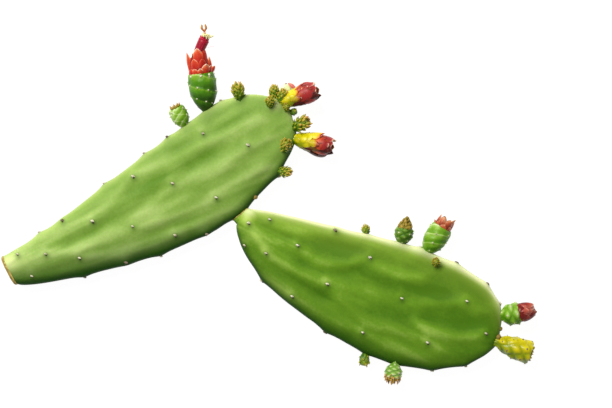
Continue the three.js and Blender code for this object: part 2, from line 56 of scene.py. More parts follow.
# The light and the surroundings, in metres.
KEY_SIZE = (1.2, 0.8)
KEY_POWER = 54
KEY_COLOUR = (1, 0.985, 0.93)
KEY_PLACE = (-0.8, 1.15, 1.62)
KEY_AIM = (0.02, 0, 0)
SKY_STRENGTH = 0.35
FLOOR_HALF = 3.0
FLOOR_GLOW = 0.96

# The pads' form. Widths and heights are given at equal steps of t, from 0 at a pad's base to 1 at its tip.
PAD_RINGS = 300
PAD_SIDES = 132
SECTION_POWER = 2.4
NORMAL_STEP = {"t": 0.01, "turn": 4.0}
FOLDS = {"height": 0.5, "count": 11, "sway": 1.1, "waves": 2.3}
AREOLE_SWELLING = (0.6, 6.0)
AREOLE_DEPTH = 0.25
BUD_SWELLING = (0.8, 2.0, 0.35)
BACK = {"spacing": 38.0, "half_width": 80.0, "tip": 12.0, "margin_cosine": 0.93, "clearance": 0.9}
NECK_ROOT = 7.0
NECK_TAPER = 0.45
RIDGE_REACH = 4.6
CREASE_REACH = 4.5
FOLD_ENDS = {"before": 4, "beyond": 2, "fade": 12.0}
FOLD_LINE = {"steps": 60, "blur": 5}
FOLD_SWELL = {"mean": 0.8, "share": 0.35, "length": 26}
DIMPLE_SIZE = 7.0
BROAD_SIZE = np.array([30.0, 16.0, 60.0])
# What the layers of a pad's skin add to its height, in millimetres, and to its tone: the ridges and streaks
# paler, as painted light on their crests, and the creases darker, as painted shade. Between the ridges the
# skin lies lower, by a share of their height.
HEIGHTS = {"ridges": 1.5, "between": 0.25, "creases": -1.0, "streaks": 0.25, "dimples": 0.05, "broad": 0.5}
TONES = {"plain": 0.34, "ridges": 0.4, "creases": -0.26, "streaks": 0.24, "dimples": 0.06, "broad": 0.14}
SCALLOP = {"height": 0.5, "reach": 8.0, "bump": 0.4, "bump_reach": 3.0, "margin_cosine": 0.86}
# Layers of fine ridges: strength, length, spread, sway, change with height and place in the noise.
STREAKS = ((0.5, 0.016, 3.2, 0.4, 0.03, 0), (0.35, 0.04, 9, 0, 0.05, 9), (0.5, 0.03, 24, 0, 0.05, 17))
STREAK_WAVES = 0.03
# Half width over which the ridges fan out: at the base, and more for each millimetre along the pad.
FAN = (34, 0.2)
# Which margins of the pads, in the picture, face the light and are painted pale.
SUNNY = np.array([0.35, 0.94])
# The lower right of the picture, away from the light, where an areole has its dark bristles and where the
# painted shadows of areoles and buds fall.
DOWNWARD = np.array([0.45, -0.89, 0.0])
# The pit of an areole with painted shade in it, the painted shadow below it and the painted highlight above
# it, and the painted shadow at the foot of a bud.
PIT = {"depth": 0.2, "reach": 1.5, "dark": 0.4}
SHADOW = {"below": 1.9, "reach": 2.4, "dark": 0.5}
GLEAM = {"above": 3.0, "reach": 3.2, "tone": 0.22}
BUD_SHADOW = {"below": 1.5, "reach_of_width": 0.42, "dark": 0.4}
# A pad's margins: how fast they begin, and how pale or dark they are towards or away from the light.
MARGIN = {"gain": 1.6, "pale": 0.8, "power": 1.5, "sunny": 1.3, "shady": 1.2, "shady_power": 0.8}
# Painted light along the margins that face the light, and painted shade in a band along those turned from it,
# wider near a pad's base.
PALE_STRIP = {"from": 0.8, "width": 0.18, "power": 1.5}
DARK_EDGE = {"change": 0.6, "gain": 1.1, "power": 1.1}
# Strength of the pale spots, mixed towards the pale margin colour: near each joint, and at the lower pad's
# tip a painted highlight on its margin.
PALE_SPOT = 0.75
# How far along a pad its change of tone from side to side is complete, in millimetres: darker towards the
# margin that faces the light, a painted shade that tempers the key light.
CROSS_TONE_FROM = 80
# Cork rings of the cut base: size, and place along the pad in millimetres.
SCAR_PROFILE = (
    (0.99, 0.3), (1.03, -0.3), (1.03, -0.9), (1.0, -1.5), (0.95, -2.0), (0.9, -2.2), (0.84, -2.15),
    (0.78, -1.9), (0.72, -2.05), (0.64, -2.15), (0.56, -1.9), (0.48, -2.0), (0.4, -2.1), (0.32, -1.85),
    (0.24, -1.95), (0.16, -2.05), (0.08, -1.85),
)

LOWER = {
    "name": "lower",
    "base": (-195.1, -46.5),
    "heading": 27.0,
    "length": 239.5,
    "left": [9.2, 9.4, 10.6, 14, 20.6, 27.2, 33.2, 37.7, 34.5, 22.5, 5],
    "right": [14, 18, 24.2, 31.5, 39, 44.3, 44.2, 37, 26, 12.2, -5],
    "half": [7, 7.6, 8.4, 9.1, 9.5, 9.6, 9.4, 8.9, 7.9, 5.4, 0],
    "middle": [11.5, 10.9, 10.2, 9.7, 9.4, 9.3, 9.3, 9.6, 10.3, 11.6, 12.5],
    "areoles": [
        (11, 5), (30, -4), (13, -14), (52, 12), (51, -18), (72, 2), (80, -36), (97, -15), (122, -35),
        (114, 18), (138, 0), (162, -24), (175, 23), (201, 0), (143, -44),
        (32, 20), (92, 30), (129, 36), (150, 32), (47, -40), (105, -50), (198, 45), (210, -32),
    ],
    "knobs": [((188, -37), 2.0)],
    "pale_spots": [(2, 3, 9.0), (233, 18, 5.5)],
    "paleness": (0.13, -0.08),
    "cross_tone": -0.12,
    "rim": 0.6,
    "dark_from": (-0.75, 0.76),
    "shoulders": [(0.645, 180, 2.8, 10.5)],
    "ridges": [
        [(0, 3), (11, 5), (23, 7), (47, 7), (72, 5), (82, 7), (92, 10), (112, 16)],
        [(114, 17), (137, 16), (163, 16), (181, 15), (200, 12), (217, 14), (228, 12)],
        [(0, -1), (29, -3), (50, -13), (68, -12), (77, -11), (89, -14), (97, -15)],
        [(97, -13), (118, -8), (138, -1), (160, -4), (180, -6), (201, -1), (226, -2)],
        [(97, -16), (122, -22), (145, -26), (162, -24), (185, -20), (215, -20)],
        [(51, -18), (80, -30), (105, -34), (122, -35), (150, -38), (188, -37)],
    ],
    "creases": [
        [(44, -4), (59, -3), (72, -4), (82, -2), (96, -1)],
        [(79, 18), (93, 20), (105, 19)],
        [(100, 8), (116, 9), (132, 10), (144, 10)],
        [(145, 21), (158, 21), (170, 22), (183, 20), (198, 20), (210, 23)],
        [(148, 4), (168, 7), (190, 6)],
        [(100, -27), (122, -29), (144, -31)],
    ],
    "buds": [
        ("fruit_young", 0.624, 0, 117, 12, 18, 14),
        ("flower", 0.682, 0, 97.5, 9, 64.5, 22),
        ("bud_front_left", 0.777, 23, 102, 16, 11.6, 10),
        ("bud_tip_face", 0.867, 59, 99, 42, 8.8, 7.2),
        ("bud_tip_left", 0.908, 8, 98, 6, 11, 8),
        ("bud_tip_round", 0.955, 50, 90, 56, 7.6, 5.4),
        ("flower_bud_tip", 0.927, 10, 18, 7, 30.5, 17.5),
        ("bud_tip_small", 0.922, 28, 66, 12, 11.5, 8),
        ("fruit_pale", 0.93, 316, 76, -14, 17.5, 10.4),
        ("bud_tip_dot", 0.98, 0, 18, 0, 6.8, 6.4),
        ("bud_tip_right", 0.935, 150, 31, 24, 13.8, 11),
        ("flower_bud_right", 0.905, 180, -13, 8, 29.6, 17),
        ("bud_face_right", 0.84, 141, 90, 52, 10.4, 9),
        ("bud_right", 0.78, 164, -5, 10, 10.2, 8),
    ],
}

UPPER = {
    "name": "upper",
    "base": (-21.45, -7.5),
    "heading": -24.35,
    "length": 213.8,
    "left": [6, 7.4, 11.6, 16.6, 22, 28.6, 32.4, 32.4, 26.2, 11, -8.5],
    "right": [7.5, 16.4, 29.2, 41.2, 49, 54.6, 55.8, 49.4, 37.2, 22.2, 8.5],
    "half": [3.0, 5.8, 7.8, 8.9, 9.4, 9.6, 9.4, 8.9, 7.8, 5.3, 0],
    "middle": [10.2, 9.9, 9.6, 9.4, 9.3, 9.3, 9.3, 9.5, 10, 11, 11.6],
    "areoles": [
        (8, -3), (21, 6), (12, -19.5), (29, -18), (48, -3), (60, -39), (80, -20), (69, 18), (101, 11),
        (119, -42), (135, -7), (166, -29), (180, 11), (203, -5),
        (35, -50), (94, -60), (162, 42), (189, 36), (203, 30), (178, -55), (133, 40), (199, -45),
    ],
    "knobs": [((211.9, 8.0), 1.8), ((212.6, -3.6), 2.2)],
    "pale_spots": [(4, 6, 7.0)],
    "paleness": (0.02, -0.24),
    "cross_tone": -0.14,
    "rim": 0.95,
    "dark_from": (0.7, 0.72),
    "shoulders": [],
    "ridges": [
        [(21, 6), (31, 4), (52, 9), (64, 16), (95, 24), (120, 27), (150, 29)],
        [(0, -1), (7, -2), (23, -8), (44, -5), (48, -3), (56, -7), (71, -8), (93, 2), (101, 10)],
        [(101, 10), (108, 7), (126, 7), (142, 13), (152, 20)],
        [(8, -3), (29, -18), (33, -21), (44, -20), (64, -22), (77, -19), (92, -17), (108, -13), (135, -7)],
        [(135, -7), (142, -8), (157, -1), (171, 5), (180, 11), (186, 8), (198, 10), (206, 13)],
        [(80, -20), (105, -31), (122, -36), (139, -31), (166, -29), (185, -32)],
        [(148, -18), (157, -20), (171, -20), (187, -16), (201, -8), (207, -6)],
        [(12, -20), (35, -34), (60, -39), (90, -45), (119, -42), (150, -44), (178, -40)],
    ],
    "creases": [
        [(8, 0), (13, -1), (26, -2), (38, -1), (48, 2), (54, 4), (69, 5), (89, 10), (98, 15)],
        [(34, -24), (50, -28), (63, -32), (90, -30)],
        [(110, -25), (130, -22), (148, -23), (160, -25)],
        [(150, -15), (171, -11), (197, -4)],
        [(116, 1), (138, 2), (162, 9), (173, 13)],
        [(50, -13), (70, -14), (88, -8), (100, 2)],
    ],
    "buds": [
        ("bud_upper_dot", 0.455, 0, 102, 6, 7, 6.8),
        ("bud_upper_left", 0.535, 0, 79, 8, 18.6, 13.6),
        ("flower_bud_short", 0.595, 0, 58, 8, 29.5, 18.5),
        ("bud_upper_face", 0.625, 34, 92, 60, 7, 6),
        ("flower_bud_closed", 0.9, 0, 12, 8, 27.5, 16),
        ("fruit_yellow", 0.99, 0, -19, 4, 28.5, 16),
        ("fruit_light", 0.635, 170, -100, 10, 16.2, 13.4),
        ("bud_upper_right", 0.562, 180, -97, 6, 10.4, 9.2),
    ],
}
Bud = namedtuple("Bud", "name t turn heading pitch length width")

# Each look: its slot, its colours by tone, the scale of its mottling and its roughness, and where it needs
# them the colour of its shaded parts, the strength of its mottling and the depth of its bumps in metres.
LOOKS = {
    "scale": ("bud_scale", {0.0: "#264400", 0.2: "#436e08", 0.42: "#7c901c", 0.66: "#bca834", 0.86: "#cc984e",
                            1.0: "#b86c56"}, 500, 0.42),
    "fresh_green": ("fruit_green", {0.0: "#234a00", 0.35: "#488002", 0.6: "#76a41e", 0.85: "#aecc72",
                                    1.0: "#d8e8b4"}, 220, 0.42),
    "dark_green": ("fruit_green", {0.0: "#264a00", 0.4: "#46700a", 0.7: "#71962c", 1.0: "#b9cb88"}, 260, 0.4),
    "pale": ("fruit_pale", {0.0: "#5f8f24", 0.35: "#94b858", 0.7: "#c8dc98", 1.0: "#edf2cf"}, 260, 0.4),
    "yellow": ("fruit_yellow", {0.0: "#526c04", 0.25: "#889402", 0.5: "#b8ae02", 0.8: "#d8cc10",
                                1.0: "#e8e050"}, 240, 0.3),
    "orange": ("tepal_orange", {0.0: "#8c0e08", 0.3: "#b42010", 0.6: "#cc4022", 0.8: "#e06c44",
                                0.92: "#ee9c78", 1.0: "#f8d4b8"}, 320, 0.4, "#8a1410"),
    "sunset": ("tepal_red", {0.0: "#e2cf14", 0.14: "#e8a424", 0.28: "#d05824", 0.46: "#9a2220",
                             0.7: "#ae3636", 0.9: "#d67c6e", 1.0: "#f2e2bc"}, 320, 0.44, "#47130c", 0.3),
    "brick": ("tepal_red", {0.0: "#6e1814", 0.4: "#a43a2c", 0.75: "#c06450", 1.0: "#e2a292"}, 320, 0.28,
              "#5a1414", 0.2),
    "salmon": ("tepal_orange", {0.0: "#84280f", 0.35: "#b4522e", 0.7: "#d08c62", 1.0: "#eccaa8"}, 320, 0.4,
               "#6c2010"),
    "withered": ("tepal_red", {0.0: "#7c5236", 0.5: "#b07c62", 1.0: "#dcb09c"}, 400, 0.6),
    "bract": ("bract_brown", {0.0: "#4e4410", 0.35: "#8c7c20", 0.6: "#b08c38", 0.85: "#c48c60",
                              1.0: "#e2b4a4"}, 420, 0.5),
    "crimson": ("stamen_crimson", {0.0: "#5c0216", 0.4: "#a00628", 0.8: "#c4123c", 1.0: "#d84070"}, 500, 0.4),
    "pollen": ("cream_down", {0.0: "#d0b060", 0.5: "#ecdf9c", 1.0: "#f8f3c4"}, 700, 0.7),
    "style": ("style_orange", {0.0: "#c8452c", 0.6: "#dc6a40", 1.0: "#e88a50"}, 500, 0.4),
    "stigma": ("stigma_olive", {0.0: "#a8481c", 0.4: "#c0701c", 0.8: "#c08424", 1.0: "#7c6a20"}, 500, 0.5),
    "wool": ("cream_down", {0.0: "#33281c", 0.3: "#7c6a5c", 0.6: "#c9bfa4", 0.85: "#ece6cf",
                            1.0: "#fbf8ea"}, 900, 0.85),
    "cork": ("cork", {0.0: "#5c4a1c", 0.4: "#96803e", 0.7: "#c4ae5c", 1.0: "#e8dc94"}, 600, 0.8, None, 0.35,
             0.0004),
}
# The pads' colours: deep, middle and light green, where the painted light of a margin that faces the light
# begins and where it ends, and the painted shade of a margin turned from the light.
SKINS = {
    "skin_lower": ("#5d8622", "#84a548", "#b0c876", "#c0d87c", "#dfe9a0", "#1b4600"),
    "skin_upper": ("#47720e", "#679120", "#a4c258", "#cee058", "#eff4b8", "#1c4400"),
}
# Colour of the painted shadows in and below the areoles and at the feet of the buds.
PAINTED_SHADOW_COLOUR = "#294a08"


def colour(code):
    """A colour written as in an image editor, as linear values."""
    channels = [int(code[i:i + 2], 16) / 255 for i in (1, 3, 5)]
    linear = [c / 12.92 if c <= 0.04045 else ((c + 0.055) / 1.055) ** 2.4 for c in channels]
    return (*linear, 1.0)


class Surface:
    """A material whose nodes are added one by one."""

    def __init__(self, name):
        self.material = bpy.data.materials.new(name)
        self.material.use_nodes = True
        self.tree = self.material.node_tree
        self.shader = self.tree.nodes["Principled BSDF"]

    def feed(self, node, inputs):
        """Sets a node's inputs to values, or links them to other nodes' outputs."""
        for key, value in inputs.items():
            if isinstance(value, bpy.types.NodeSocket):
                self.tree.links.new(value, node.inputs[key])
            else:
                node.inputs[key].default_value = value

    def add(self, kind, output, inputs, **settings):
        node = self.tree.nodes.new("ShaderNode" + kind)
        for key, value in settings.items():
            setattr(node, key, value)
        self.feed(node, inputs)
        return node.outputs[output]

    def attribute(self, name):
        return self.add("Attribute", "Fac", {}, attribute_name=name)

    def noise(self, scale, detail):
        place = self.add("TexCoord", "Object", {})
        return self.add("TexNoise", "Fac", {"Vector": place, "Scale": scale, "Detail": detail})

    def mottle(self, scale, detail, share, middle=0.0):
        """Noise round a middle value, whose whole range is a share of 1."""
        return self.math("MULTIPLY_ADD", self.noise(scale, detail), share, middle - share / 2)

    def math(self, operation, *values, clamp=False):
        return self.add("Math", "Value", dict(enumerate(values)), operation=operation, use_clamp=clamp)

    def mix(self, factor, first, second):
        return self.add("Mix", 2, {0: factor, 6: first, 7: second}, data_type="RGBA")

    def ramp(self, factor, stops):
        node = self.tree.nodes.new("ShaderNodeValToRGB")
        elements = node.color_ramp.elements
        while len(elements) < len(stops):
            elements.new(0.5)
        for element, (place, code) in zip(elements, stops.items()):
            element.position = place
            element.color = colour(code)
        self.feed(node, {"Fac": factor})
        return node.outputs["Color"]

    def finish(self, base, rough_grain, roughness, bump_scale, bump, specular, subsurface, radius):
        """Feeds the shader: colour, roughness and bump with their grain, and light under the surface."""
        grain = self.noise(bump_scale, 3.0)
        self.feed(self.shader, {
            "Base Color": base,
            "Roughness": self.mottle(*rough_grain, 0.2, roughness),
            "Normal": self.add("Bump", "Normal", {"Strength": 0.4, "Distance": bump, "Height": grain}),
            "Specular IOR Level": specular,
            "Subsurface Weight": subsurface,
            "Subsurface Radius": radius,
            "Subsurface Scale": 1.0,
        })
        return self.material


def skin_material(name, deep, mid, light, glow, rim, shade):
    """Waxy skin of a pad: mottled green, with painted light over its folds and painted shade in its creases
    and at its areoles and buds, yellow-green painted light towards the margins that face the light and dark
    painted shade towards those turned from it.
    """
    skin = Surface(name)
    mottling = skin.math("ADD", skin.mottle(60.0, 4.0, 0.44), skin.mottle(520.0, 3.0, 0.3))
    tone = skin.math("ADD", skin.attribute("tone"), mottling)
    base = skin.ramp(tone, {0.0: deep, 0.45: mid, 1.0: light})
    # Painted light on the margins that face the light, then painted shade on those turned from it.
    share = skin.attribute("rim")
    bright = skin.mix(share, base, skin.ramp(share, {0.1: glow, 0.75: rim}))
    shaded = skin.mix(skin.attribute("shade"), bright, colour(shade))
    # Painted shadows in and below the areoles and at the feet of the buds.
    with_painted_shadow = skin.mix(skin.attribute("hollow"), shaded, colour(PAINTED_SHADOW_COLOUR))
    return skin.finish(with_painted_shadow, rough_grain=(120.0, 3.0), roughness=0.52, bump_scale=700.0, bump=0.00012,
                       specular=0.1, subsurface=0.12, radius=(0.0012, 0.003, 0.0004))


def plain_material(name, stops, scale, roughness, dark=None, mottling=0.35, bump=0.00008):
    """A living surface whose colour runs through stops by the piece's own tone, with fine mottling."""
    surface = Surface(name)
    tone = surface.math("ADD", surface.attribute("tone"), surface.mottle(scale, 4.0, mottling), clamp=True)
    base = surface.ramp(tone, stops)
    # Mixed towards the dark colour by the shade attribute: painted shade, and on the lower tepals partly
    # their own maroon.
    if dark is not None:
        base = surface.mix(surface.attribute("shade"), base, colour(dark))
    return surface.finish(base, rough_grain=(scale * 1.7, 2.0), roughness=roughness, bump_scale=scale * 5,
                          bump=bump, specular=0.28, subsurface=0.1, radius=(0.0012, 0.0014, 0.0006))


# Each look's material and slot.
MATERIALS = {name: (plain_material(name, *row), slot) for name, (slot, *row) in LOOKS.items()}
MATERIALS |= {name: (skin_material(name, *codes), "pad_skin") for name, codes in SKINS.items()}


def unit(vectors):
    return vectors / np.linalg.norm(vectors, axis=-1, keepdims=True)


def mound(points, centre, reach):
    """A bell round a centre, 1 at its top."""
    return np.exp(-np.sum((points - centre) ** 2, axis=-1) / reach ** 2)


def shares(count, whole=1.0):
    """Equal steps from 0 to just before the whole."""
    return np.linspace(0, whole, count, endpoint=False)


def round_ring(sides, side, other):
    """Points round the ellipse that two vectors span, or round each one of many."""
    angles = shares(sides, 2 * np.pi)[:, None]
    side, other = np.asarray(side), np.asarray(other)
    return np.cos(angles) * side[..., None, :] + np.sin(angles) * other[..., None, :]


def ray_at(azimuth):
    """The level direction, or directions, at an azimuth in radians."""
    return np.stack([np.cos(azimuth), np.sin(azimuth), 0 * azimuth], axis=-1)


def smooth_step(share):
    return share * share * (3 - 2 * share)


def smooth_values(values, t):
    values = np.asarray(values, dtype=float)
    last = len(values) - 1
    place = np.clip(t, 0, 1) * last
    i = np.minimum(np.floor(place).astype(int), last - 1)
    f = place - i
    before, start, end, after = (values[np.clip(i + k, 0, last)] for k in (-1, 0, 1, 2))
    linear = (end - before) * f
    square = (2 * before - 5 * start + 4 * end - after) * f ** 2
    cube = (after - before + 3 * (start - end)) * f ** 3
    return start + (linear + square + cube) / 2


def signed_power(value, power):
    return np.sign(value) * np.abs(value) ** power


def pad_point(pad, t, turn):
    """A point on a pad's plain surface in its own frame, in millimetres: x along it, y to its left, z up."""
    t, turn = np.broadcast_arrays(np.asarray(t, float), np.asarray(turn, float))
    left, right, middle, half = (smooth_values(pad[key], t) for key in ("left", "right", "middle", "half"))
    power = 2 / SECTION_POWER
    angle = np.radians(turn)
    x = pad["length"] * (1 - np.cos(np.pi * t)) / 2
    y = (left - right) / 2 + (left + right) / 2 * signed_power(np.cos(angle), power)
    z = middle + half * signed_power(np.sin(angle), power)
    return np.stack([x, y, z], axis=-1)


def pad_normal(pad, t, turn):
    step, turned = NORMAL_STEP["t"], NORMAL_STEP["turn"]
    at = np.clip(t, 3 * step, 1 - step)
    along = pad_point(pad, at + step, turn) - pad_point(pad, at - step, turn)
    around = pad_point(pad, at, turn + turned) - pad_point(pad, at, turn - turned)
    return unit(np.cross(around, along))


def face_place(pad, place, side):
    """t and turn of a place given in millimetres along and across a pad's face."""
    along, across = place
    t = math.acos(1 - 2 * along / pad["length"]) / math.pi
    left = float(smooth_values(pad["left"], t))
    right = float(smooth_values(pad["right"], t))
    share = min(max((across - (left - right) / 2) / ((left + right) / 2), -1), 1)
    return t, side * math.degrees(math.acos(float(signed_power(share, SECTION_POWER / 2))))


def areole_places(pad):
    """t and turn of the areoles: those listed for the front, and a staggered lattice on the back."""
    places = [face_place(pad, place, 1) for place in pad["areoles"]]
    step = BACK["spacing"] / 2
    for row in range(1, math.ceil((pad["length"] - BACK["tip"]) / step)):
        for across in np.arange((row % 2) * step - BACK["half_width"], BACK["half_width"], BACK["spacing"]):
            t, turn = face_place(pad, (row * step, across), -1)
            on_face = abs(math.cos(math.radians(turn))) < BACK["margin_cosine"]
            if on_face and pad_point(pad, t, turn)[2] > BACK["clearance"]:
                places.append((t, turn))
    return places


def list_swellings(pad):
    height, reach = AREOLE_SWELLING
    mounds = [(height, pad_point(pad, *place), reach) for place in pad["places"]]
    height, reach, reach_of_width = BUD_SWELLING
    for bud in pad["buds"]:
        mounds.append((height, pad_point(pad, bud.t, bud.turn), reach + reach_of_width * bud.width))
    return mounds


def relief(pad, point, t, turn):
    """How far the skin stands above the plain surface: long folds from the base, and swellings."""
    angle = np.radians(turn)
    fade = np.sin(np.pi * t) * np.sin(angle) ** 2
    wander = FOLDS["sway"] * np.sin(FOLDS["waves"] * np.pi * t + pad["heading"])
    height = FOLDS["height"] * fade * np.cos(FOLDS["count"] * angle + wander)
    for rise, centre, reach in pad["swellings"]:
        height = height + rise * mound(point, centre, reach)
    return height


def skin_point(pad, t, turn):
    point = pad_point(pad, t, turn)
    return point + pad_normal(pad, t, turn) * np.asarray(relief(pad, point, t, turn))[..., None]


def on_margin(turn):
    return abs(math.cos(math.radians(turn))) > SCALLOP["margin_cosine"]


def pad_matrix(pad):
    """From a pad's frame in millimetres to the object's frame in metres."""
    place = Matrix.Translation(Vector((*pad["base"], 0)) * MM)
    return place @ Matrix.Rotation(math.radians(pad["heading"]), 4, "Z") @ Matrix.Scale(MM, 4)


def bud_matrix(pad, bud):
    """From a bud's frame in millimetres, z along it, y to its left and x down, to the object's frame."""
    flat = math.radians(bud.heading)
    rise = math.radians(bud.pitch)
    axis = Vector((math.cos(flat) * math.cos(rise), math.sin(flat) * math.cos(rise), math.sin(rise)))
    side = Vector((-math.sin(flat), math.cos(flat), 0))
    foot = pad_matrix(pad) @ Vector(pad_point(pad, bud.t, bud.turn))
    turned = Matrix((side.cross(axis), side, axis)).transposed().to_4x4()
    return Matrix.Translation(foot) @ turned @ Matrix.Scale(MM, 4)


def transformed(points, matrix):
    return np.asarray(points) @ np.array(matrix.to_3x3()).T + np.array(matrix.translation)


def in_object(matrix, point, direction):
    """A point and a direction of a pad's or bud's frame, in the object's frame in millimetres."""
    return transformed(point, matrix) / MM, np.array(matrix.to_3x3()) / MM @ direction


# Value noise on a lattice of seeded random numbers, for forms and tones that wander.
NOISE_SIZE = 32
NOISE = np.random.default_rng(7).random((NOISE_SIZE, NOISE_SIZE, NOISE_SIZE)) * 2 - 1


def wander_noise(points):
    """Smooth noise from -1 to 1 at an array of points, with cells one unit wide."""
    points = np.asarray(points, float)
    cell = np.floor(points).astype(int)
    f = smooth_step(points - cell)
    total = np.zeros(points.shape[:-1])
    for bits in np.ndindex(2, 2, 2):
        x, y, z = np.moveaxis((cell + bits) % NOISE_SIZE, -1, 0)
        total += np.prod(np.where(bits, f, 1 - f), axis=-1) * NOISE[x, y, z]
    return total


def new_object(name, data):
    made = bpy.data.objects.new(name, data)
    bpy.context.scene.collection.objects.link(made)
    return made


class Builder:
    """Collects patches of vertices and faces, with values for each vertex, into one mesh."""

    def __init__(self):
        self.vertices = []
        self.faces = []
        self.values = {}
        self.count = 0

    def add(self, vertices, faces, **values):
        vertices = np.asarray(vertices, float).reshape(-1, 3)
        self.vertices.append(vertices)
        self.faces.extend([tuple(int(i) + self.count for i in face) for face in faces])
        for key in {**self.values, **values}:
            rows = self.values.setdefault(key, [np.zeros(self.count)])
            value = np.broadcast_to(np.asarray(values.get(key, 0.0), float).reshape(-1), (len(vertices),))
            rows.append(value)
        self.count += len(vertices)

    def loft(self, foot, rings, tip, **values):
        """A closed body from a point, through rings of points, to a point. A value is one number, or a tuple
        of the foot's, the rings' or their points', and the tip's."""
        count, sides = np.shape(rings)[:2]
        for key, value in values.items():
            if isinstance(value, tuple):
                middle = np.broadcast_to(np.reshape(value[1], (count, -1)), (count, sides))
                values[key] = np.concatenate([[value[0]], middle.ravel(), [value[2]]])
        here = np.arange(count * sides).reshape(count, sides) + 1
        after = np.roll(here, -1, 1)
        end = count * sides + 1
        faces = [(0, b, a) for a, b in zip(here[0], after[0])]
        faces += list(np.stack([here[:-1], after[:-1], after[1:], here[1:]], -1).reshape(-1, 4))
        faces += [(a, b, end) for a, b in zip(here[-1], after[-1])]
        self.add(np.concatenate([[foot], np.reshape(rings, (-1, 3)), [tip]]), faces, **values)

    def object(self, name, look, replaces=(), matrix=Matrix.Scale(MM, 4)):
        """Makes the piece, from its own frame in millimetres."""
        material, slot = MATERIALS[look]
        vertices = transformed(np.concatenate(self.vertices), matrix)
        vertices[:, 2] = np.maximum(vertices[:, 2], FLOOR_CLEARANCE)
        mesh = bpy.data.meshes.new(name)
        mesh.from_pydata(vertices.tolist(), [], self.faces)
        mesh.update()
        mesh.shade_smooth()
        for key, rows in self.values.items():
            attribute = mesh.attributes.new(key, "FLOAT", "POINT")
            attribute.data.foreach_set("value", np.concatenate(rows).astype(np.float32))
        mesh.materials.append(material)
        piece = new_object(name, mesh)
        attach(piece, "root")
        if replaces:
            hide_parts(*replaces)
        return piece


def streaks(pad, point):
    """Fine ridges and hollows that fan out along a pad, from -1 to 1."""
    along, across, up = np.moveaxis(point, -1, 0)
    fan = across / (FAN[0] + FAN[1] * along)
    total = 0
    for strength, length, spread, sway, depth, shift in STREAKS:
        aside = fan * spread + sway * np.sin(along * STREAK_WAVES)
        place = np.stack([along * length, aside, up * depth + shift + pad["heading"]], axis=-1)
        total = total + strength * wander_noise(place)
    return total


def fold_height(pad, point, folds, reach):
    """The soft folds that run between a pad's areoles, from 0 to 1."""
    along, across = point[..., 0], point[..., 1]
    height = np.zeros_like(along)
    blur = FOLD_LINE["blur"]
    kernel = np.ones(2 * blur + 1) / (2 * blur + 1)
    for k, fold in enumerate(folds):
        places, offsets = np.array(fold, float).T
        steps = np.linspace(places[0], places[-1], FOLD_LINE["steps"])
        line = np.pad(np.interp(steps, places, offsets), blur, mode="edge")
        line = np.convolve(line, kernel, mode="valid")
        distance = (across - np.interp(along, steps, line)) / reach
        inside = np.minimum(along - places[0] + FOLD_ENDS["before"], places[-1] + FOLD_ENDS["beyond"] - along)
        ends = smooth_step(np.clip(inside / FOLD_ENDS["fade"], 0, 1))
        place = np.stack([along / FOLD_SWELL["length"], 0 * along + k, 0 * along + pad["length"]], axis=-1)
        swell = FOLD_SWELL["mean"] + FOLD_SWELL["share"] * wander_noise(place)
        height = np.maximum(height, np.exp(-distance ** 2) * ends * swell)
    return height


def pad_relief(pad, plain, t, turn):
    """How far the fine skin stands above the plain surface, and its tone, with painted light on the ridges
    and painted shade in the creases.
    """
    face = np.abs(np.sin(np.radians(turn)))
    first, last = pad["paleness"]
    rise = relief(pad, plain, t, turn) - HEIGHTS["ridges"] * HEIGHTS["between"] * face
    tone = TONES["plain"] + first + (last - first) * plain[..., 0] / pad["length"]
    run = streaks(pad, plain)
    layers = {
        "ridges": fold_height(pad, plain, pad["ridges"], RIDGE_REACH) * face,
        "creases": fold_height(pad, plain, pad["creases"], CREASE_REACH) * face,
        "streaks": run * face,
        "dimples": wander_noise(plain / DIMPLE_SIZE),
        "broad": wander_noise(plain / BROAD_SIZE + pad["heading"]) * face,
    }
    for name, layer in layers.items():
        rise = rise + HEIGHTS[name] * layer
        tone = tone + TONES[name] * (run if name == "streaks" else layer)
    for place in pad["places"]:
        if on_margin(place[1]):
            centre = pad_point(pad, *place)
            rise = rise + SCALLOP["height"] * mound(plain, centre, SCALLOP["reach"])
            rise = rise + SCALLOP["bump"] * mound(plain, centre, SCALLOP["bump_reach"])
    for *place, height, reach in pad["shoulders"]:
        rise = rise + height * mound(plain, pad_point(pad, *place), reach)
    return rise, tone


def neck_ring(base, part):
    """A section of the root that a pad's neck is drawn out into."""
    middle = base.mean(axis=0)
    return middle + (base - middle) * (1 - NECK_TAPER * part) - (NECK_ROOT * part, 0, 0)


